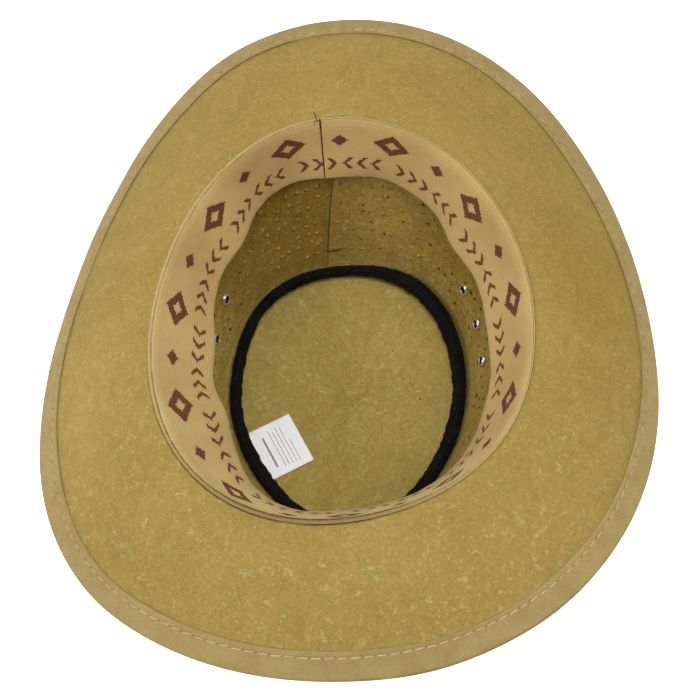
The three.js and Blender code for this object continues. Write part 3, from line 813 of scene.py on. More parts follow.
    # pale cut edge, plus a patch of painted light on the brim
    pale[:, : len(top)] = pale_lip + 0.13 * arc(a, 201, 17)[:, None] * np.exp(-((f - 0.7) / 0.35) ** 2)
    tone[:, : len(top)] = painted_shading
    rich[:, : len(top)] = 0.55 * arc(a, 14, 22)[:, None] * np.clip((f - 0.1) / 0.3, 0, 1)
    ob = ring_object("brim_felt", P, [FELT], attrs={"crease_shade": att, "lip": pale, "painted_shading": tone, "rich": rich})
    return place(ob, "felt", "brim")


# ---- binding tape ------------------------------------------------------------------------
def stitch_line(a):
    """distance of the tape's stitch line from the tape's inner edge, and the edge's own waver"""
    waver = 0.28 * np.sin(5 * a + 0.7) + 0.18 * np.sin(11 * a + 2.0)
    line = 2.9 + 0.9 * np.exp(-((np.mod(a - math.radians(225) + math.pi, TAU) - math.pi) / 0.5) ** 2) + 0.22 * np.sin(7 * a + 1.0)
    return line, waver


def build_binding():
    start = BRIM_WIDTH - BINDING_WIDTH
    felt = BRIM_WIDTH - 1.4
    line_at = lambda a: brim_point(a, start + 3.2, 1.0)
    pitch_a, length, count = resample(line_at, pitch=5.95)
    per = 5
    na = count * per
    a = resample(line_at, count=na)[0]
    t = BINDING_THICKNESS
    low = -BRIM_THICKNESS
    line, waver = stitch_line(a)
    phase = (np.arange(na) % per) / per            # 0 at a needle hole
    hole = np.exp(-((np.minimum(phase, 1 - phase)) / 0.17) ** 2)
    s_top = np.concatenate([[0.0, 0.05, 0.3, 0.9, 1.6], np.linspace(2.2, 4.6, 9), [5.6, 7.2, 9.0, 10.8, 12.0]])

    def leg(seed, sign):
        s = s_top[None] + np.zeros((na, 1))
        d = s - line[:, None]
        h = np.full(s.shape, GAP * 0.5 + t)
        h[:, 0] = GAP * 0.3
        h[:, 1] = GAP * 0.5 + t * 0.62
        h[:, 2] = GAP * 0.5 + t * 0.95
        h -= (0.20 + 0.30 * hole[:, None]) * np.exp(-(d / 0.62) ** 2)
        h += 0.07 * np.exp(-((d + 1.5) / 0.9) ** 2) * (1 - hole[:, None]) + 0.08 * np.exp(-((d - 1.6) / 1.0) ** 2)
        h += 0.09 * smooth_noise(s.shape, (150, 3), seed) * np.clip(s / 2, 0.2, 1) + 0.10 * smooth_noise(s.shape, (40, 2), seed + 1) * np.clip(s / 4, 0, 1)
        s = s + waver[:, None] * np.clip(1 - s / 6, 0, 1)
        hh = h if sign > 0 else low - h
        return brim_point(a[:, None], start + s, hh)

    upper = leg(11, 1)
    lower = leg(13, -1)
    th = np.linspace(math.radians(78), math.radians(-78), 9)
    mid_h = low / 2
    rad_h = -low / 2 + GAP * 0.5 + t
    edge = brim_point(a[:, None], (felt - 0.05 + 1.4 * np.cos(th) ** 0.8)[None], (mid_h + rad_h * np.sin(th))[None] + 0.05 * smooth_noise((na, 9), (90, 2), 17))
    inner_s = np.array([felt + 0.25, felt + 0.25, start + 0.2])
    inner_top = brim_point(a[:, None], np.array([start + 0.25, felt + 0.12])[None], np.full((1, 2), 0.06))
    inner_low = brim_point(a[:, None], np.array([felt + 0.12, start + 0.25])[None], np.full((1, 2), low - 0.06))
    P = np.concatenate([upper, edge, lower[:, ::-1], inner_low[:, ::-1], inner_top[:, ::-1]], 1)
    U = np.arange(na + 1) / na * length
    seg = np.linalg.norm(np.diff(P[0], axis=0), axis=1)
    V = np.concatenate([[0], np.cumsum(seg), [seg.sum() + 1]])
    # painted shade: the tape's turned inner edges darker, and dimples at the needle holes
    att = np.zeros(P.shape[:2])
    k = len(s_top)
    for cols, vals in ((slice(0, 3), (0.95, 0.55, 0.1)), (slice(k + 9 + k - 3, k + 9 + k), (0.1, 0.55, 0.95))):
        att[:, cols] = np.array(vals)[None] * (0.16 + 0.34 * np.clip(arc(a, 90, 75), 0, 1))[:, None]
    near_hole = 0.16 * (1 - 0.7 * arc(a, 275, 60))[:, None] * hole[:, None] * np.exp(-((s_top[None] - line[:, None]) / 0.5) ** 2)
    att[:, :k] += near_hole
    att[:, k + 9:k + 9 + k] += near_hole[:, ::-1]
    # painted shade: the rounded outer edge is a shade darker
    att[:, k:k + 9] += np.array([0.16, 0.36, 0.60, 0.76, 0.82, 0.76, 0.60, 0.36, 0.16])[None] * (0.75 + 0.25 * smooth_noise((na, 9), (200, 2), 19))
    # painted light and shade: the tape darker or lighter in broad patches round the brim
    painted_shading = (0.09 * arc(a, 250, 50) - 0.03 * arc(a, 180, 30) - 0.07 * arc(a, 322, 24))[:, None] * np.ones((1, P.shape[1]))
    ob = place(ring_object("binding_tape", P, [TAPE], U, V, attrs={"crease_shade": att, "painted_shading": painted_shading}), "binding_tape", "brim_binding")

    # stitches and needle holes, both faces
    out = [ob]
    for face, sign in (("under", 1), ("over", -1)):
        hs = np.concatenate([pitch_a, [pitch_a[0] + TAU]])
        mid_a = (hs[1:] + hs[:-1]) / 2
        ln, wv = stitch_line(mid_a)
        jit = RNG.normal(0, 0.06, count)
        s = start + ln + jit + wv * np.clip(1 - ln / 6, 0, 1)
        h0 = GAP * 0.5 + t - 0.12
        at = lambda aa, ss: brim_point(aa, ss, h0 if sign > 0 else low - h0)
        mid = at(mid_a, s)
        e = 0.004
        along = unit(at(mid_a + e, s) - at(mid_a - e, s))
        nrm = unit(brim_point(mid_a, s, 1.0) - brim_point(mid_a, s, 0.0)) * sign
        tilt = RNG.normal(0, 0.035, count)
        along = unit(along + np.cross(nrm, along) * tilt[:, None])
        side = np.cross(nrm, along)
        along = unit(along + side * 0.07 * sign)
        show = np.clip(0.18 + 0.66 * arc(mid_a, 272, 40) + 0.30 * arc(mid_a, 318, 26) + 0.16 * arc(mid_a, 95, 45) + 0.22 * arc(mid_a, 10, 40), 0, 1)
        show = np.clip(show + RNG.normal(0, 0.16, count), 0.03, 1)
        mid = mid - nrm * (0.16 * (1 - show))[:, None]
        ob2 = stitches_object("binding_stitches_" + face, mid, along, nrm, 5.05 + RNG.normal(0, 0.12, count), 0.56, 0.5, [THREAD], pale=show)
        out.append(place(ob2, "binding_tape"))
        # dark beads at the needle holes: painted shade of the dimples where the thread goes in
        ln, wv = stitch_line(hs[:-1])
        s = start + ln + wv * np.clip(1 - ln / 6, 0, 1)
        h1 = GAP * 0.5 + t - 0.50
        mid = brim_point(hs[:-1], s, h1 if sign > 0 else low - h1)
        along = unit(brim_point(hs[:-1] + e, s, 0) - brim_point(hs[:-1] - e, s, 0))
        nrm = unit(brim_point(hs[:-1], s, 1.0) - brim_point(hs[:-1], s, 0.0)) * sign
        ob3 = stitches_object("binding_needle_holes_" + face, mid, along, nrm, 0.62, 0.40, 0.34, [HOLE], sides=6, rows=5)
        out.append(place(ob3, "binding_tape"))
    return out


# ---- sweatband -----------------------------------------------------------------------------
LEDGE = 2.4                     # the part of the band's width that is sewn down as a flat rim


def ledge_width(a):
    """how far the flat rim of the sweatband stands in from the brim's cut edge"""
    return 0.75 + 2.15 * np.clip(arc(a, 262, 48), 0, 1) + 0.85 * np.clip(arc(a, 190, 32) + 0.6 * arc(a, 135, 40), 0, 1) * (1 - arc(a, 262, 48))


def ledge_point(a, f, h):
    """f from 0 at the brim to 1 at the end of the flat rim, h above it"""
    a, f, h = np.broadcast_arrays(*(np.asarray(v, float) for v in (a, f, h)))
    gap = 0.05 + 0.05 * arc(a, 262, 42) + 0.04 * arc(a, 15, 50)
    p = opening(a) - outward(opening, a) * (gap + (ledge_width(a) - gap) * f)[..., None]
    p[..., 2] += 0.10 + 0.10 * np.sin(math.pi * np.clip(f, 0, 1)) + h
    return p


def band_waves(a):
    v = np.array(BAND_WAVES + BAND_WAVES[:1])
    return np.interp(np.mod(a, TAU) / TAU * 72, np.arange(73), v)


def build_sweatband():
    half = BAND_THICKNESS / 2
    gap = 0.0032
    na = 760
    top = lambda a: band_point(a, 0.0, 0.0)
    a = SEAM + gap + (TAU - 2 * gap) * np.arange(na) / (na - 1)
    length = np.concatenate([[0], np.cumsum(np.linalg.norm(np.diff(band_point(a, 14.0, 0.0), axis=0), axis=1))])
    s = np.concatenate([[0.0, 0.15, 0.5, 1.1, 1.6, 1.8, 1.95, 2.1, 2.25, LEDGE, 2.55, 2.8, 3.4, 4.4], np.linspace(6.0, BAND_WIDTH - 2.2, 21), [BAND_WIDTH - 1.2, BAND_WIDTH - 0.4]])
    ripple = 0.25 * smooth_noise((na, len(s)), (34, 3), 21) + 0.16 * smooth_noise((na, len(s)), (90, 5), 22)
    ripple *= (s / BAND_WIDTH)[None] ** 1.2
    ripple = ripple - (band_waves(a)[:, None] * ((s / BAND_WIDTH)[None] ** 2)) / np.cos(np.radians(station(BAND_LEAN, a)))[:, None] * 0.85
    end = np.exp(-np.minimum(np.arange(na), na - 1 - np.arange(na)) / 3.0)[:, None]
    face_in = -half * np.ones_like(s)
    face_in[-1] = -half * 0.85
    free = band_point(a[:, None], s[None], face_in[None] + 0.25 * end * -1 + ripple)
    # flat sewn rim, then the band turns down over a stitched groove
    wavy = 0.16 * noise_at(a / TAU, 0.5, (170, 1), 23) + 0.10 * noise_at(a / TAU, 0.5, (60, 1), 24)
    depth = 0.16 + 0.44 * arc(a, 262, 46) + 0.12 * arc(a, 195, 30)
    at_s = (LEDGE - 0.45 * arc(a, 262, 50) + wavy * (1 - 0.6 * arc(a, 262, 46)))[:, None]
    groove = depth[:, None] * np.exp(-((s[None] - at_s) / 0.26) ** 2)
    rim = ledge_point(a[:, None], s[None] / LEDGE, -groove - np.where(s[None] < 0.1, 0.12, 0.0))
    foot = ledge_point(a, 1.0, 0.0)
    knee = band_point(a, 6.0, -half + ripple[:, 14])
    f = np.clip((s - LEDGE) / (6.0 - LEDGE), 0, 1)[None, :, None]
    slope = foot[:, None] * (1 - f) + knee[:, None] * f
    slope[..., 2] += 0.35 * np.sin(math.pi * f[..., 0]) - groove
    inner = np.where((s <= LEDGE)[None, :, None], rim, np.where((s < 5.9)[None, :, None], slope, free))
    outer = band_point(a[:, None], s[None], half * np.ones_like(s)[None] * np.where(s < 0.1, 0.55, 1.0)[None] + ripple)
    lip = ledge_point(a, 0.0, -0.42)
    P = np.concatenate([inner, band_point(a, BAND_WIDTH, -half * 0.3 + ripple[:, -1])[:, None], outer[:, ::-1], lip[:, None]], 1)
    painted_shade, edge = np.zeros(P.shape[:2]), np.zeros(P.shape[:2])
    k = len(s)
    # painted shade: a dark line in the stitched groove, deepest in front, a darker strip inside the rim in front, the
    # rim's edge, and the band's outer face near its top where it stands in the gap
    dark = 0.10 + 1.25 * arc(a, 262, 46) + 0.45 * arc(a, 200, 30) + 0.35 * arc(a, 135, 42)
    width = 0.24 + 0.10 * arc(a, 135, 42) + 0.04 * arc(a, 262, 46) + 0.12 * arc(a, 215, 26)
    broken = np.clip(0.85 + 0.75 * noise_at(a / TAU, 0.5, (190, 1), 25) * (1 - 0.6 * arc(a, 262, 46)), 0.15, 1.4)
    painted_shade[:, :k] = (dark * broken)[:, None] * np.exp(-((s[None] - at_s) / width[:, None]) ** 2)
    painted_shade[:, 1:6] += 0.30 * arc(a, 262, 40)[:, None]
    painted_shade[:, 0] = np.maximum(painted_shade[:, 0], 0.30 + 0.3 * arc(a, 262, 42))
    painted_shade[:, k + 1:2 * k + 1] = (np.exp(-(s / 5.0) ** 2) * 0.95)[::-1]
    painted_shade[:, 2 * k + 1] = 0.6
    tone = np.clip(0.75 - 0.55 * arc(a, 262, 46), 0, 1)
    edge[:, :k] = tone[:, None] * np.clip((LEDGE + 0.5 + 1.5 * wavy[:, None] - s[None]) / 0.8, 0, 1)
    edge[:, :k] += 0.45 * arc(a, 262, 40)[:, None] * np.clip((s[None] - LEDGE) / 0.6, 0, 1) * np.clip((9.0 - s[None]) / 5.0, 0, 1)
    # the print stops short of the free edge, which is a paler selvage
    edge[:, k - 3:k] = np.maximum(edge[:, k - 3:k], np.array([0.15, 0.35, 0.4])[None])
    V = np.concatenate([s, [BAND_WIDTH + 0.3], BAND_WIDTH + 1 + (BAND_WIDTH - s[::-1]), [2 * BAND_WIDTH + 2], [2 * BAND_WIDTH + 2.5]])
    # painted light and shade: the band lighter in front below the rim, the rim darker in front, darker in patches
    # round the band and low at the back
    painted_light = np.zeros(P.shape[:2])
    painted_light[:, :k] = -0.40 * arc(a, 262, 46)[:, None] * (s[None] < LEDGE) + 0.40 * np.clip(arc(a, 262, 33) + 0.75 * arc(a, 300, 24), 0, 1)[:, None] * np.clip((s[None] - LEDGE) / 1.0, 0, 1) * np.exp(-(s[None] / 26.0) ** 4)
    green = np.zeros(P.shape[:2])
    green[:, :k] = np.clip(1.0 * arc(a, 262, 37) + 0.4 * arc(a, 300, 30), 0, 1)[:, None] * np.clip((s[None] - LEDGE) / 1.0, 0, 1)
    painted_light[:, :k] -= (0.03 * arc(a, 8, 40) + 0.06 * arc(a, 185, 26) + 0.15 * arc(a, 217, 22) + 0.08 * arc(a, 330, 18) + 0.13 * arc(a, 38, 17))[:, None] * np.clip((s[None] - LEDGE) / 3.0, 0, 1)
    painted_light[:, :k] -= 0.17 * arc(a, 80, 20)[:, None] * np.clip((s[None] - 25) / 9.0, 0, 1)
    ob = strip_object("sweatband_cloth", P, [BAND], length, V, attrs={"crease_shade": painted_shade, "rim": edge, "light": painted_light, "green": green})
    place(ob, "sweatband_cloth", "sweatband")
    out = [ob]

    # small beads of thread along the sewn rim
    at = lambda aa: ledge_point(aa, 0.55, 0.0)
    sa, ln, count = resample(at, pitch=1.75)
    rnd = np.random.default_rng(61)
    mid = ledge_point(sa, 0.55 + rnd.normal(0, 0.05, count), 0.02 - 0.10 * (1 - np.clip(arc(sa, 205, 32), 0, 1)) - 0.30 * arc(sa, 268, 40))
    along = unit(at(sa + 0.004) - at(sa - 0.004))
    ob2 = stitches_object("sweatband_stitches", mid, along, np.tile([0.0, 0, 1.0], (count, 1)), 1.05, 0.36, 0.26, [BAND_THREAD], sides=6, rows=5)
    out.append(place(ob2, "sweatband_cloth"))

    # dark zigzag joining the two ends at the back
    rows = 15
    k = np.arange(rows)
    sd = 1.2 + k * (BAND_WIDTH - 2.6) / (rows - 1)
    p = band_point(np.full(rows, SEAM), sd, -half - 0.10)
    nrm = unit(band_point(np.full(rows, SEAM), sd, -1.0) - band_point(np.full(rows, SEAM), sd, 0.0))
    across = unit(band_point(np.full(rows, SEAM + 0.01), sd, 0.0) - band_point(np.full(rows, SEAM - 0.01), sd, 0.0))
    down = unit(band_point(np.full(rows, SEAM), sd + 1, 0.0) - band_point(np.full(rows, SEAM), sd, 0.0))
    slant = np.where(k % 2 == 0, 0.9, -0.9) + RNG.normal(0, 0.2, rows)
    along = unit(down + across * slant[:, None] * 0.55)
    ob3 = stitches_object("sweatband_join", p, along, nrm, 2.5, 0.42, 0.36, [BROWN], sides=6, rows=5)
    out.append(place(ob3, "sweatband_cloth"))
    return out


# ---- crown wall ------------------------------------------------------------------------------
def seam_distance(a, t):
    """signed distance round the wall from its back seam, mm, positive to the left of the picture"""
    seam = np.radians(98.9 - 8.6 * t)
    return (np.mod(a - seam + math.pi, TAU) - math.pi) * (77.0 + 28.0 * t)


def wall_relief(a, t):
    """how far the inner face stands in from the plain wall, mm: soft waves, the back seam and a fold mark beside it"""
    a, t = np.broadcast_arrays(np.asarray(a, float), np.asarray(t, float))
    fade = np.clip(t / 0.05, 0, 1) * np.clip((1 - t) / 0.04, 0, 1)
    r = (0.45 * noise_at(a / TAU, t, (26, 5), 31) + 0.12 * noise_at(a / TAU, t, (90, 14), 32)) * fade
    # the panel on one side laps over the other: a low step with a fine groove at its foot
    d = seam_distance(a, t)
    lap = np.where(d < 0, np.exp(d / 9.0), 0.0)
    strong = 0.55 + 0.45 * np.clip((t - 0.115) / 0.02, 0, 1)
    r = r + (0.8 * lap - 0.45 * np.exp(-(d / 0.30) ** 2)) * strong * np.clip((1 - t) / 0.03, 0, 1)
    # fold mark
    z = (t - 0.120) * 98.5 + 0.05 * d
    span = np.exp(-((d + 3.6) / 4.4) ** 4)
    return r + span * (0.40 * np.exp(-((z - 1.3) / 1.0) ** 2) - 0.45 * np.exp(-((z + 0.6) / 0.9) ** 2))


def build_crown_wall():
    na = 640
    base = np.arange(na) / na * TAU
    # more columns near the seam
    mid = math.radians(95.0)
    near = np.linspace(-0.09, 0.09, 73) + mid
    a = np.unique(np.concatenate([base[np.abs(np.mod(base - mid + math.pi, TAU) - math.pi) > 0.092], np.mod(near, TAU)]))
    na = len(a)
    t = np.concatenate([[0.0, 0.012, 0.03, 0.05, 0.07, 0.09], np.linspace(0.100, 0.140, 9), np.linspace(0.160, 0.985, 37), [1.0]])
    p, n, _, _ = wall_frame(a[:, None] + 0 * t[None], t[None] + 0 * a[:, None])
    relief = wall_relief(a[:, None], t[None])
    fade = np.clip(t / 0.05, 0, 1)[None] * np.clip((1 - t) / 0.04, 0, 1)[None]
    inner = p - n * relief[..., None]
    d = seam_distance(a[:, None], t[None])
    und = 0.3 * noise_at(a[:, None] / TAU, t[None], (26, 5), 31) * fade
    outer = p + n * (WALL_THICKNESS - und - 0.5 * np.exp(-(d / 0.5) ** 2) * fade)[..., None]
    P = np.concatenate([inner, outer[:, ::-1]], 1)
    # the seam's dark line, with painted shade beside it and under the fold mark
    line = np.exp(-(d / 0.27) ** 2)
    low = np.where(t > 0.12, 1.0, 0.45)[None]
    att_in = 1.0 * line * low + 0.20 * np.exp(-((d - 1.8) / 1.6) ** 2) * low
    z = (t[None] - 0.120) * 98.5 + 0.05 * d
    att_in = att_in + 0.62 * np.exp(-((z + 0.6) / 1.2) ** 2) * np.exp(-((d + 3.6) / 4.0) ** 4)
    # painted light: lighter where the wall turns in to the black trim, just right of the back seam, and at the left
    painted_light_in = 0.12 * np.exp(-((t[None] - 0.05) / 0.03) ** 2) + 0.13 * arc(a, 76, 15)[:, None] + 0.12 * arc(a, 176, 26)[:, None] * np.clip((t[None] - 0.05) / 0.1, 0, 1) + 0 * d
    att_out = 0.8 * line
    att = np.concatenate([att_in, att_out[:, ::-1]], 1)
    pale = np.concatenate([painted_light_in, 0 * painted_light_in], 1)
    # painted shade and light: darker and redder high up at the right, lighter at the left and just right of the seam
    high = np.clip((t[None] - 0.25) / 0.3, 0, 1)
    painted_shading_in = 0.16 * arc(a, 45, 26)[:, None] * high - 0.22 * arc(a, 170, 30)[:, None] - 0.12 * arc(a, 78, 13)[:, None] + 0 * high
    # painted shade: the panel left of the seam is painted darker and browner than the other
    left = np.clip(d / 2.0, 0, 1) * np.exp(-(d / 62.0) ** 2)
    painted_shading_in = painted_shading_in + 0.07 * left
    rich_in = 0.75 * left + 0.35 * arc(a, 35, 30)[:, None] * high
    side = np.zeros(P.shape[:2], int)
    side[:, len(t):] = 1
    ob = ring_object("crown_wall", P, [FELT_IN, FELT], face_mat=side, attrs={"crease_shade": att, "lip": pale, "painted_shading": np.concatenate([painted_shading_in, 0 * painted_shading_in], 1),
                                                        "rich": np.concatenate([rich_in, 0 * rich_in], 1)})
    place(ob, "felt", "crown_side")
    return ob


def perforation_lattice(rnd):
    """centres of the pin holes in the side wall: angle and t, in loose staggered rows with gaps"""
    rows = []
    zs = np.arange(15.5, 92.0, 6.1)
    for r, z in enumerate(zs):
        tt = (z - 2.5) / 98.5
        _, length, count = resample(lambda x: wall_inner(x, np.full_like(x, tt)), pitch=5.5)
        aa, _, _ = resample(lambda x: wall_inner(x, np.full_like(x, tt)), count=count)
        aa = aa + (0.5 if r % 2 else 0.0) * TAU / count + rnd.normal(0, 0.009, count)
        tj = tt + rnd.normal(0, 0.0075, count)
        keep = (np.abs(seam_distance(aa, tj)) > 1.6) & (rnd.uniform(0, 1, count) > 0.16)
        for _, ang, ze in EYELETS:
            da = np.abs(np.mod(aa - math.radians(ang) + math.pi, TAU) - math.pi) * 68
            keep &= np.hypot(da, z - ze) > 5.0
        rows.append(np.stack([aa, tj], -1)[keep])
    return np.concatenate(rows)


def build_perforations():
    rnd = np.random.default_rng(77)
    pts = perforation_lattice(rnd)
    n = len(pts)
    p, nrm, al, up = wall_frame(pts[:, 0], pts[:, 1])
    sides = 9
    ring = np.arange(sides) / sides * TAU
    out = []
    # inside: cloth pushed through round each pin hole, some closed up again, some still open
    size = rnd.uniform(0.5, 1.15, n) * np.where(rnd.uniform(0, 1, n) < 0.12, 1.5, 1.0)
    d = seam_distance(pts[:, 0], pts[:, 1])
    right = (d < 0) & (rnd.uniform(0, 1, n) < 0.75)
    size = np.where(right, size * 0.72, size)
    open_ = np.clip(rnd.uniform(0, 1, n) ** 2.2 * 0.55 + np.where(right, 0.30, 0.0) * rnd.uniform(0.2, 1, n), 0, 1)
    open_ = np.where(rnd.uniform(0, 1, n) < 0.06, 0.85, open_)
    # at the hat's right and left most are open pricks, with painted shade all round
    round_ = arc(pts[:, 0], 12, 40) + 0.25 * arc(pts[:, 0], 165, 24)
    pricked = rnd.uniform(0, 1, n) < 0.62 * round_
    open_ = np.where(pricked, rnd.uniform(0.5, 0.85, n), open_)
    size = np.where(pricked, size * rnd.uniform(0.55, 1.0, n), size)
    lean = rnd.normal(0, 0.16, (n, 2))
    prof = [(1.50, -0.08, 0), (0.96, 0.10, 0.2), (0.68, 0.44, 0.7), (0.42, 0.60, 1.0), (0.24, 0.42, 1.0), (0.18, 0.05, 1.0)]
    lay, crease_shade = [], []
    rel = wall_relief(pts[:, 0], pts[:, 1])
    for q, (r, hgt, lf) in enumerate(prof):
        rr = r * (0.62 + 0.48 * size)
        if q >= 4:
            rr = r * (0.45 + 2.0 * open_)
        hh = hgt * size if hgt > 0 else np.full(n, hgt)
        hh = hh * np.where(q >= 2, 1 - 0.55 * open_, 1.0)
        centre = p - nrm * rel[:, None] + (al * lean[:, :1] + up * lean[:, 1:]) * lf
        wob = 1 + 0.24 * rnd.uniform(-1, 1, (n, sides))
        ring_pts = centre[:, None] + (al[:, None] * np.cos(ring)[None, :, None] + up[:, None] * np.sin(ring)[None, :, None]) * (rr[:, None] * wob)[..., None] - nrm[:, None] * hh[:, None, None]
        lay.append(ring_pts)
        # painted shade: darker on the lower side of each bump, and all round the open pricks
        shade = {0: 0.55, 1: 1.0, 2: 0.45, 3: 0.0, 4: 0.4, 5: 1.0}[q]
        low_side = np.clip(-np.sin(ring), 0, 1)[None]
        c = shade * (1.1 * low_side ** 0.7 if q in (0, 1, 2) else 1.0 + 0 * low_side) * np.ones((n, 1)) * (1.0 if q < 4 else (0.3 + 0.7 * open_)[:, None])
        all_round = {0: 0.25, 1: 0.85, 2: 1.0, 3: 0.9, 4: 1.0, 5: 1.0}[q]
        crease_shade.append(np.where(pricked[:, None], all_round, c))
    L = np.stack(lay, 1)                       # n, rings, sides, 3
    C = np.stack(crease_shade, 1)
    k = len(prof)
    i, j = np.meshgrid(np.arange(k - 1), np.arange(sides), indexing="ij")
    f = np.stack([i * sides + j, i * sides + (j + 1) % sides, (i + 1) * sides + (j + 1) % sides, (i + 1) * sides + j], -1).reshape(1, -1, 4)
    base = (np.arange(n) * k * sides)[:, None, None]
    F = (f + base).reshape(-1, 4).tolist()
    # painted highlight: the tops of some bumps take the lighter FELT_HIGHLIGHT cloth; open holes take the dark
    # pin-hole cloth as painted shade
    raised = np.where((rnd.uniform(0, 1, n) < np.where(d > 0, 0.65, 0.3)) & ~pricked, 1, 0)
    mat = np.tile(np.repeat([0, 0, 1, 1, 2], sides), n).reshape(n, -1)
    mat = np.where((mat == 1) & (raised[:, None] == 0), 0, mat)
    mat[open_ < 0.3, 4 * sides:] = 0
    mat = mat.ravel().tolist()
    for q in range(n):
        b = q * k * sides
        F.append([b + (k - 1) * sides + c for c in range(sides)])
        F.append([b + c for c in range(sides)][::-1])
        mat += [2 if open_[q] >= 0.3 else 0, 0]
    v = to_metres(L)
    one = v[: k * sides]
    if signed_volume(one - one.mean(0), np.array([x for x in F[: (k - 1) * sides]])) < 0:
        F = [x[::-1] for x in F]
    ob = new_object("crown_pinholes_inside", v, F, [FELT_IN, FELT_HIGHLIGHT, PINHOLE], mat, attrs={"crease_shade": C})
    out.append(place(ob, "felt"))
    # outside: plain small dark pricks, a little sunk, their darkness painted shade for the holes
    q = p + nrm * (WALL_THICKNESS + 0.03)
    ob = stitches_object("crown_pinholes_outside", q, up, nrm, 0.85, 0.62, 0.22, [HOLE], sides=7, rows=5)
    out.append(place(ob, "felt"))
    return out


# ---- crown tip -------------------------------------------------------------------------------
def build_tip():
    na = 300
    a = np.arange(na) / na * TAU
    rings = []
    c = np.array([TIP_CENTRE[0], TIP_CENTRE[1], 0.0])
    rim = cord_radius(a)
    frac_b = [0.02, 0.35, 0.7, 0.93]
    edge = [(-0.8, 0.0), (-0.1, 0.12), (0.5, 0.45), (0.9, 0.95), (1.1, 1.5), (1.0, TIP_THICKNESS)]
    loops = [c * (1 - f) + tip_loop(a, rim - 0.8, 0.0) * f for f in frac_b]
    loops += [tip_loop(a, rim + o, z) for o, z in edge]
    top = np.array([1.0, 0.985, 0.965, 0.94, 0.91, 0.87, 0.82, 0.76, 0.7, 0.63, 0.56, 0.49, 0.42, 0.35, 0.28, 0.21, 0.14, 0.08, 0.03])
    und = smooth_noise((na, len(top)), (9, 4), 41)
    for i, f in enumerate(top[1:], 1):
        q = c * (1 - f) + tip_loop(a, rim + 1.0, 0.0) * f
        dome = 0.55 * (1 - f ** 2) + 0.28 * und[:, i] * min(1, (1 - f) * 5) * f
        q[:, 2] = TIP_THICKNESS + np.minimum(dome, 0.9) * (1 if f < 0.93 else 0.3)
        loops.append(q)
    L = np.stack(loops, 0)
    nl = len(loops)
    verts = np.concatenate([[c], L.reshape(-1, 3), [c + [0, 0, TIP_THICKNESS + 0.55]]])
    F = []
    for i in range(na):
        k = (i + 1) % na
        F.append([0, 1 + k, 1 + i])
        last = 1 + (nl - 1) * na
        F.append([1 + nl * na, last + i, last + k])
    i, j = np.meshgrid(np.arange(nl - 1), np.arange(na), indexing="ij")
    k = (j + 1) % na
    quads = np.stack([1 + i * na + j, 1 + i * na + k, 1 + (i + 1) * na + k, 1 + (i + 1) * na + j], -1).reshape(-1, 4)
    F += quads.tolist()
    spot = lambda x, y, w, h: np.exp(-((verts[:, 0] - x) / w) ** 2 - ((verts[:, 1] - y) / h) ** 2)
    # painted light and shade: a little darker in one broad patch near the middle, lighter in another
    tone = 0.05 * spot(6, -8, 12, 26) - 0.08 * spot(38, 28, 15, 24)
    ob = new_object("crown_top", to_metres(verts), F, [FELT_TIP], attrs={"painted_shading": tone})
    place(ob, "felt", "crown_tip")
    # a few dark pricks in the cloth
    pr = np.array([[40.0, 3.0], [26.0, 30.0]])
    mid = np.column_stack([pr, np.full(len(pr), TIP_THICKNESS + 0.5)])
    ob2 = stitches_object("crown_top_pricks", mid, np.tile([1.0, 0.3, 0], (len(pr), 1)), np.tile([0, 0, 1.0], (len(pr), 1)), 1.1, 0.8, 0.3, [HOLE], sides=7, rows=5)
    place(ob2, "felt")
    # topstitching on the outside of the wall, above the seam
    out = [ob, ob2]
    tt = 0.055
    fn = lambda x: wall_inner(x, np.full_like(x, tt))
    sa, ln, count = resample(fn, pitch=4.2)
    p, n, al, up = wall_frame(sa, np.full(count, tt))
    ob3 = stitches_object("crown_tip_stitches", p + n * (WALL_THICKNESS + 0.02), al, n, 3.0, 0.5, 0.4, [FELT_THREAD], sides=6, rows=5)
    out.append(place(ob3, "felt"))
    return out


# ---- black cord over the tip seam ---------------------------------------------------------------
# radius of the trim round the crown and how far its middle stands out of its plain loop, mm, every 22.5 degrees
CORD_SWELLS = [3.44, 3.80, 4.25, 3.70, 2.71, 2.92, 2.82, 2.96, 3.06, 2.91, 3.50, 2.95, 2.50, 2.50, 3.25, 3.56]
CORD_SHIFTS = [-0.2, -0.9, -0.8, 0.3, 0.0, 0.15, 0.2, -0.15, 0.0, 0.0, 0.05, 0.75, 0.8, 0.6, 0.65, 0.3]


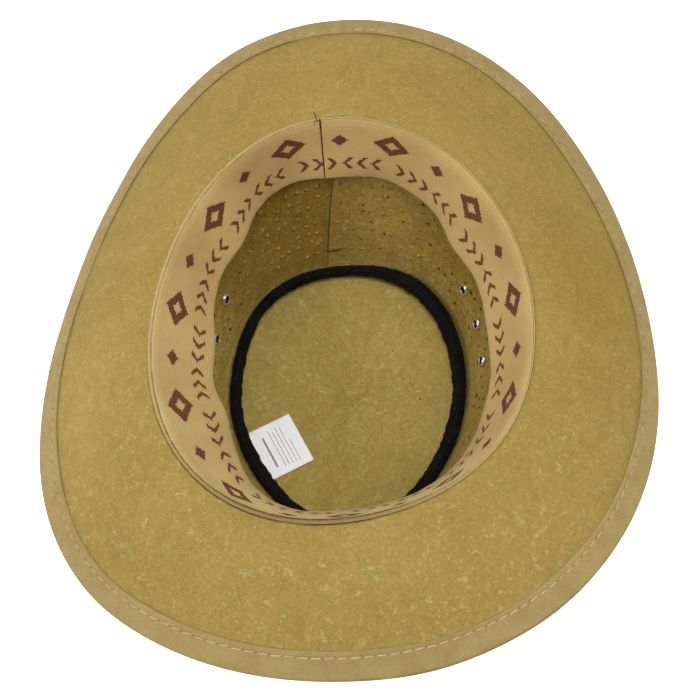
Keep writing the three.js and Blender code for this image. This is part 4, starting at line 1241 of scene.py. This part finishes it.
def build_cord():
    stitches, per, wales, cols = 294, 6, 10, 5
    na, m = stitches * per, wales * cols
    loop_at = lambda x: tip_loop(x, np.zeros_like(x), CORD_FLOOR + cord_radius(x))
    a, length, _ = resample(loop_at, count=na)
    b = np.arange(m) / m * TAU
    x = np.abs(((np.arange(m) % cols) + 0.5) / cols * 2 - 1)[None]          # 0 middle of a wale, 1 between
    y = (np.arange(na) / per)[:, None]
    ph = np.mod(y + 0.30 * (1 - x) + 0.16 * smooth_noise((na, m), (60, 2), 53), 1.0)
    loop = np.sin(math.pi * ph)
    uneven = 0.75 + 0.35 * smooth_noise((na, m), (170, 6), 52)
    inner = 1 + 1.3 * np.clip(-np.cos(b) - 0.2, 0, 1)[None]
    hgt = (0.66 * loop * inner - 0.20 * (x > 0.7) - 0.05 * (x < 0.21)) * uneven - 0.40 * inner
    nodes = np.append(np.array(CORD_SWELLS), CORD_SWELLS[0])
    swell = np.interp(np.mod(a, TAU) / TAU * 16, np.arange(17), nodes)[:, None]
    swell = 0.5 * swell + 0.25 * (np.roll(swell, 22, 0) + np.roll(swell, -22, 0))
    shifts = np.append(np.array(CORD_SHIFTS), CORD_SHIFTS[0])
    shift = np.interp(np.mod(a, TAU) / TAU * 16, np.arange(17), shifts)[:, None]
    shift = 0.5 * shift + 0.25 * (np.roll(shift, 40, 0) + np.roll(shift, -40, 0))
    r = swell * (1 + 0.03 * smooth_noise((na, m), (46, 3), 51)) + hgt
    # the two ends meet at the back, a little thicker and frayed there
    join = arc(a, 62, 5)[:, None]
    r = r * (1 + 0.07 * join) + 0.35 * join * smooth_noise((na, m), (420, 9), 54)
    twist = b[None] + 0.12 * np.sin(a * 3)[:, None]
    P = tip_loop(a[:, None] + 0 * b[None], shift + r * np.cos(twist), 0.0)
    P[..., 2] = CORD_FLOOR + 0.5 * (cord_radius(a)[:, None] + swell) + r * np.sin(twist)
    P[..., 2] = np.maximum(P[..., 2], TIP_THICKNESS + 0.35)
    U = np.arange(na + 1) / na * length
    V = np.arange(m + 1) / m * TAU * CORD_RADIUS
    ob = ring_object("tip_seam_cord", P, [CORD], U, V, attrs={"loop": np.clip(loop * (x < 0.7) * uneven, 0, 1) ** 2 + 0 * b[None]})
    out = [place(ob, "seam_cord", "seam_binding")]
    # a few olive fibres caught in the join
    rnd = np.random.default_rng(91)
    k = 16
    fa = np.radians(rnd.normal(62, 3.6, k))
    fb = rnd.uniform(0.25, 2.6, k)
    rr = np.interp(fa / TAU * 16, np.arange(17), nodes) * 1.05
    mid = tip_loop(fa, np.interp(fa / TAU * 16, np.arange(17), shifts) + rr * np.cos(fb), 0.0)
    mid[:, 2] = CORD_FLOOR + 0.5 * (cord_radius(fa) + rr / 1.05) + rr * np.sin(fb)
    o = outward(tip_curve, fa)
    nrm = o * np.cos(fb)[:, None] + np.array([0, 0, 1.0]) * np.sin(fb)[:, None]
    side = np.stack([-o[:, 1], o[:, 0], np.zeros(k)], -1)
    along = unit(side + np.cross(nrm, side) * rnd.normal(0, 0.9, k)[:, None])
    ob2 = stitches_object("tip_seam_fibres", mid, along, nrm, rnd.uniform(1.0, 2.2, k), 0.12, 0.12, [FRAY], sides=5, rows=5)
    out.append(place(ob2, "seam_cord"))
    return out


# ---- label ---------------------------------------------------------------------------------------
def build_label():
    nu, nv = 34, 36
    w, l = LABEL["width"], LABEL["length"]
    u = np.linspace(0, w, nu)
    v = np.linspace(0, l, nv)
    U, V = np.meshgrid(u, v, indexing="ij")
    cu, su = math.cos(LABEL["turn"]), math.sin(LABEL["turn"])
    x = LABEL["x"] + (U - w / 2) * cu - (V - l / 2) * su
    y = LABEL["y"] + (U - w / 2) * su + (V - l / 2) * cu
    # held flat under the cord at u = 0, easing up a little towards its free corners
    free = np.clip((U - 5) / (w - 5), 0, 1)
    z = TIP_THICKNESS + 0.62 + 1.1 * free ** 1.6 * (0.55 + 0.45 * np.sin(V / l * math.pi * 0.9 + 0.4)) + 0.15 * np.sin(V / l * TAU * 1.1 + 1.0) * free
    th = 0.26
    top = np.stack([x, y, z + th], -1)
    bot = np.stack([x, y, z], -1)
    verts = to_metres(np.concatenate([top.reshape(-1, 3), bot.reshape(-1, 3)]))
    idx = np.arange(nu * nv).reshape(nu, nv)
    F, UVc = [], []
    uvv = np.stack([U, V], -1).reshape(-1, 2) / 1000
    n0 = nu * nv
    for i in range(nu - 1):
        for j in range(nv - 1):
            q = [idx[i, j], idx[i + 1, j], idx[i + 1, j + 1], idx[i, j + 1]]
            F.append(q)
            F.append([z_ + n0 for z_ in q][::-1])
            UVc += [uvv[c] for c in q] + [uvv[c] * 0 + 0.09 for c in q]
    rim = [idx[i, 0] for i in range(nu)] + [idx[nu - 1, j] for j in range(1, nv)] + [idx[i, nv - 1] for i in range(nu - 2, -1, -1)] + [idx[0, j] for j in range(nv - 2, 0, -1)]
    for k in range(len(rim)):
        c, d = rim[k], rim[(k + 1) % len(rim)]
        F.append([c, c + n0, d + n0, d])
        UVc += [uvv[c] * 0 + 0.09] * 4
    ob = new_object("label_cloth", verts, F, [LABEL_MAT], None, np.array(UVc))
    place(ob, "label_cloth", "label")
    return ob


# ---- eyelets ----------------------------------------------------------------------------------------
def build_eyelets():
    half = WALL_THICKNESS / 2
    th = lambda c0, c1, r, a0, a1, n: [(c0 + r * math.cos(x), c1 + r * math.sin(x)) for x in np.linspace(a0, a1, n)]
    # closed profile in (radius, along the outward normal from the middle of the wall)
    prof = []
    prof += th(2.42, -(half + 0.92), 0.52, math.pi * 0.95, math.pi * 1.6, 8)      # rolled collar, inside face
    prof += [(2.9, -(half + 1.22)), (3.16, -(half + 0.86)), (3.36, -(half + 0.50)), (3.42, -(half + 0.28))]
    prof += [(2.9, -(half + 0.24)), (2.3, -(half + 0.24)), (2.3, half + 0.24), (2.9, half + 0.24)]
    prof += [(3.25, half + 0.26), (3.25, half + 0.42)]
    prof += th(2.55, half + 0.28, 0.62, math.radians(35), math.radians(150), 8)
    prof += [(1.86, half + 0.1), (1.82, 0.0)]
    prof = np.array(prof)
    # painted shade: the faces inside the bore take the dark bore metal
    in_bore = np.array([p_[0] < 1.97 for p_ in prof])
    face_mat = np.tile((in_bore & np.roll(in_bore, -1)).astype(int), (40, 1))
    sides = 40
    ring = np.arange(sides) / sides * TAU
    out = []
    for name, ang, z in EYELETS:
        a = np.array([math.radians(ang)])
        t = np.array([0.3])
        for _ in range(30):
            t = t + (z - wall_inner(a, t)[:, 2]) / 100
        p, n, al, up = wall_frame(a, t)
        p, n, al, up = p[0] + n[0] * half, n[0], al[0], up[0]
        up = np.cross(n, al)
        P = p + (al * np.cos(ring)[:, None, None] + up * np.sin(ring)[:, None, None]) * prof[None, :, 0:1] + n * prof[None, :, 1:2]
        ob = ring_object(name + "_ring", P, [METAL, BORE], face_mat=face_mat)
        out.append(place(ob, "eyelet_metal", name))
        # painted shade: a dark plug fills the bore, standing in for the shadowed hole from either side
        disc = (al * np.cos(ring)[:, None] + up * np.sin(ring)[:, None]) * 1.95
        V = np.concatenate([p - n * (half + 0.66) + disc, p + n * (half + 0.34) + disc])
        F = [[i, (i + 1) % sides, sides + (i + 1) % sides, sides + i] for i in range(sides)]
        F += [list(range(sides))[::-1], list(range(sides, 2 * sides))]
        q = F[0]
        if np.cross(V[q[1]] - V[q[0]], V[q[3]] - V[q[0]]) @ disc[0] < 0:
            F = [f[::-1] for f in F]
        ob = new_object(name + "_bore", to_metres(V), F, [BORE], smooth=False)
        out.append(place(ob, "eyelet_metal"))
    return out


# ---- loose threads at the back seam --------------------------------------------------------------------
def build_threads():
    o = opening(np.array([SEAM]))[0]
    n = outward(opening, np.array([SEAM]))[0]
    al = np.array([n[1], -n[0], 0.0])
    up = np.array([0, 0, 1.0])
    run = lambda pts: np.array([o + al * x + n * y + up * z for x, y, z in pts])
    brown = [run([(-1.4, -0.6, 0.6), (-1.8, 0.6, 1.0), (-1.6, 1.8, 1.3), (-2.3, 3.0, 1.1), (-2.0, 4.0, 0.6)]),
             run([(-0.6, -1.6, 0.5), (-1.5, -1.2, 1.2), (-2.6, -1.8, 1.1), (-3.2, -2.6, 0.3)])]
    cream = [run([(3.0, -0.9, 0.7), (4.2, 0.2, 1.2), (5.6, 0.5, 1.1), (6.6, -0.3, 0.8), (7.8, -0.9, 0.7)]),
             run([(9.0, -1.0, 0.6), (10.0, 0.1, 1.1), (11.4, 0.2, 1.0), (12.4, -0.8, 0.6)])]
    w = wall_inner(np.array([math.radians(91.7)]), np.array([0.585]))[0]
    inn = -n
    fluff = [np.array([w + inn * x + al * y + up * z for x, y, z in ((0.6, 0.0, 2.5), (2.2, 1.2, 0.4), (2.6, 2.8, -1.2), (1.4, 3.4, 0.2), (1.2, 2.0, 1.2))]),
             np.array([w + inn * x + al * y + up * z for x, y, z in ((0.6, 1.5, 2.0), (1.9, 3.0, 0.6), (2.0, 4.6, 0.3), (0.9, 5.2, 1.2))])]
    return [place(tube_object("loose_thread_brown", brown, 0.22, [BROWN]), "sweatband_cloth"),
            place(tube_object("loose_thread_cream", cream + fluff, 0.17, [BAND_THREAD]), "sweatband_cloth")]


# softboxes: name, azimuth and elevation seen from the hat, width in metres, watts
AMBIENT = 0.03
LIGHTS = [
    ("top_softbox", 0, 90, 1.0, 16.8),
    ("right_softbox", 60, 65, 1.0, 8.6),
    ("right_back_high_softbox", 120, 65, 1.0, 2.9),
    ("left_back_softbox", 240, 65, 1.0, 4.8),
    ("right_back_softbox", 120, 38, 1.0, 4.4),
    ("left_front_softbox", 300, 38, 1.0, 15.6),
]


# ---- floor, light and camera -----------------------------------------------------------------------------
def build_stage():
    me = bpy.data.meshes.new("studio_floor")
    s = 6.0
    me.from_pydata([(-s, -s, 0), (s, -s, 0), (s, s, 0), (-s, s, 0)], [], [(0, 1, 2, 3)])
    fl = bpy.data.objects.new("studio_floor", me)
    bpy.context.scene.collection.objects.link(fl)
    k = Mat("studio_white", roughness=0.9, specular=0.1)
    k.b.inputs["Base Color"].default_value = (0.93, 0.93, 0.93, 1)
    k.b.inputs["Emission Color"].default_value = (1.0, 1.0, 1.0, 1)
    k.b.inputs["Emission Strength"].default_value = 0.85
    # far from the hat the floor brightens into the white surroundings
    place_on = k.node("ShaderNodeTexCoord").outputs["Object"]
    reach = k.node("ShaderNodeVectorMath")
    reach.operation = "LENGTH"
    k.link(place_on, reach.inputs[0])
    k.link(k.mix(k.ramp(reach.outputs["Value"], 0.6, 1.6), (1.0, 1.0, 1.0, 1.0), (1.2, 1.2, 1.2, 1.0)), k.b.inputs["Emission Color"])
    me.materials.append(k.m)
    fl.location.z = -0.0002

    # white surroundings as the camera sees them, with only a little of their light
    w = bpy.data.worlds.new("studio")
    bpy.context.scene.world = w
    w.use_nodes = True
    t = w.node_tree
    back = t.nodes["Background"]
    back.inputs["Color"].default_value = (1.0, 1.0, 1.0, 1)
    seen = t.nodes.new("ShaderNodeLightPath")
    level = t.nodes.new("ShaderNodeMapRange")
    level.inputs["To Min"].default_value = AMBIENT
    level.inputs["To Max"].default_value = 1.0
    t.links.new(seen.outputs["Is Camera Ray"], level.inputs["Value"])
    t.links.new(level.outputs["Result"], back.inputs["Strength"])

    for name, azimuth, elevation, size, power in LIGHTS:
        d = bpy.data.lights.new(name, "AREA")
        d.shape = "DISK"
        d.size = size
        d.energy = power
        o = bpy.data.objects.new(name, d)
        bpy.context.scene.collection.objects.link(o)
        az, el = math.radians(azimuth), math.radians(elevation)
        v = Vector((math.sin(az) * math.cos(el), -math.cos(az) * math.cos(el), math.sin(el)))
        o.location = v * 2.0 + Vector((0, 0, 0.06))
        o.rotation_euler = v.to_track_quat("Z", "Y").to_euler()


def build_camera():
    e, az, dist, f_px = math.radians(65.4747), math.radians(0.4274), 1083.05, 2319.13
    back = np.array([math.sin(az) * math.cos(e), -math.cos(az) * math.cos(e), math.sin(e)])
    target = np.array([4.4356, -15.708, 103.5713])
    c = bpy.data.cameras.new("camera")
    c.sensor_fit = "HORIZONTAL"
    c.sensor_width = 36.0
    c.lens = f_px / 700 * 36.0
    c.clip_start = 0.01
    c.clip_end = 50
    o = bpy.data.objects.new("camera", c)
    bpy.context.scene.collection.objects.link(o)
    o.location = tuple((target + back * dist + SHIFT) / 1000)
    o.rotation_euler = Vector(tuple(back)).to_track_quat("Z", "Y").to_euler()
    bpy.context.scene.camera = o


build_camera()
build_stage()
build_brim()
build_binding()
build_crown_wall()
build_perforations()
build_tip()
build_sweatband()
build_cord()
build_label()
build_eyelets()
build_threads()

sc = bpy.context.scene
sc.view_settings.view_transform = "Standard"
sc.view_settings.look = "None"

bpy.context.view_layer.update()
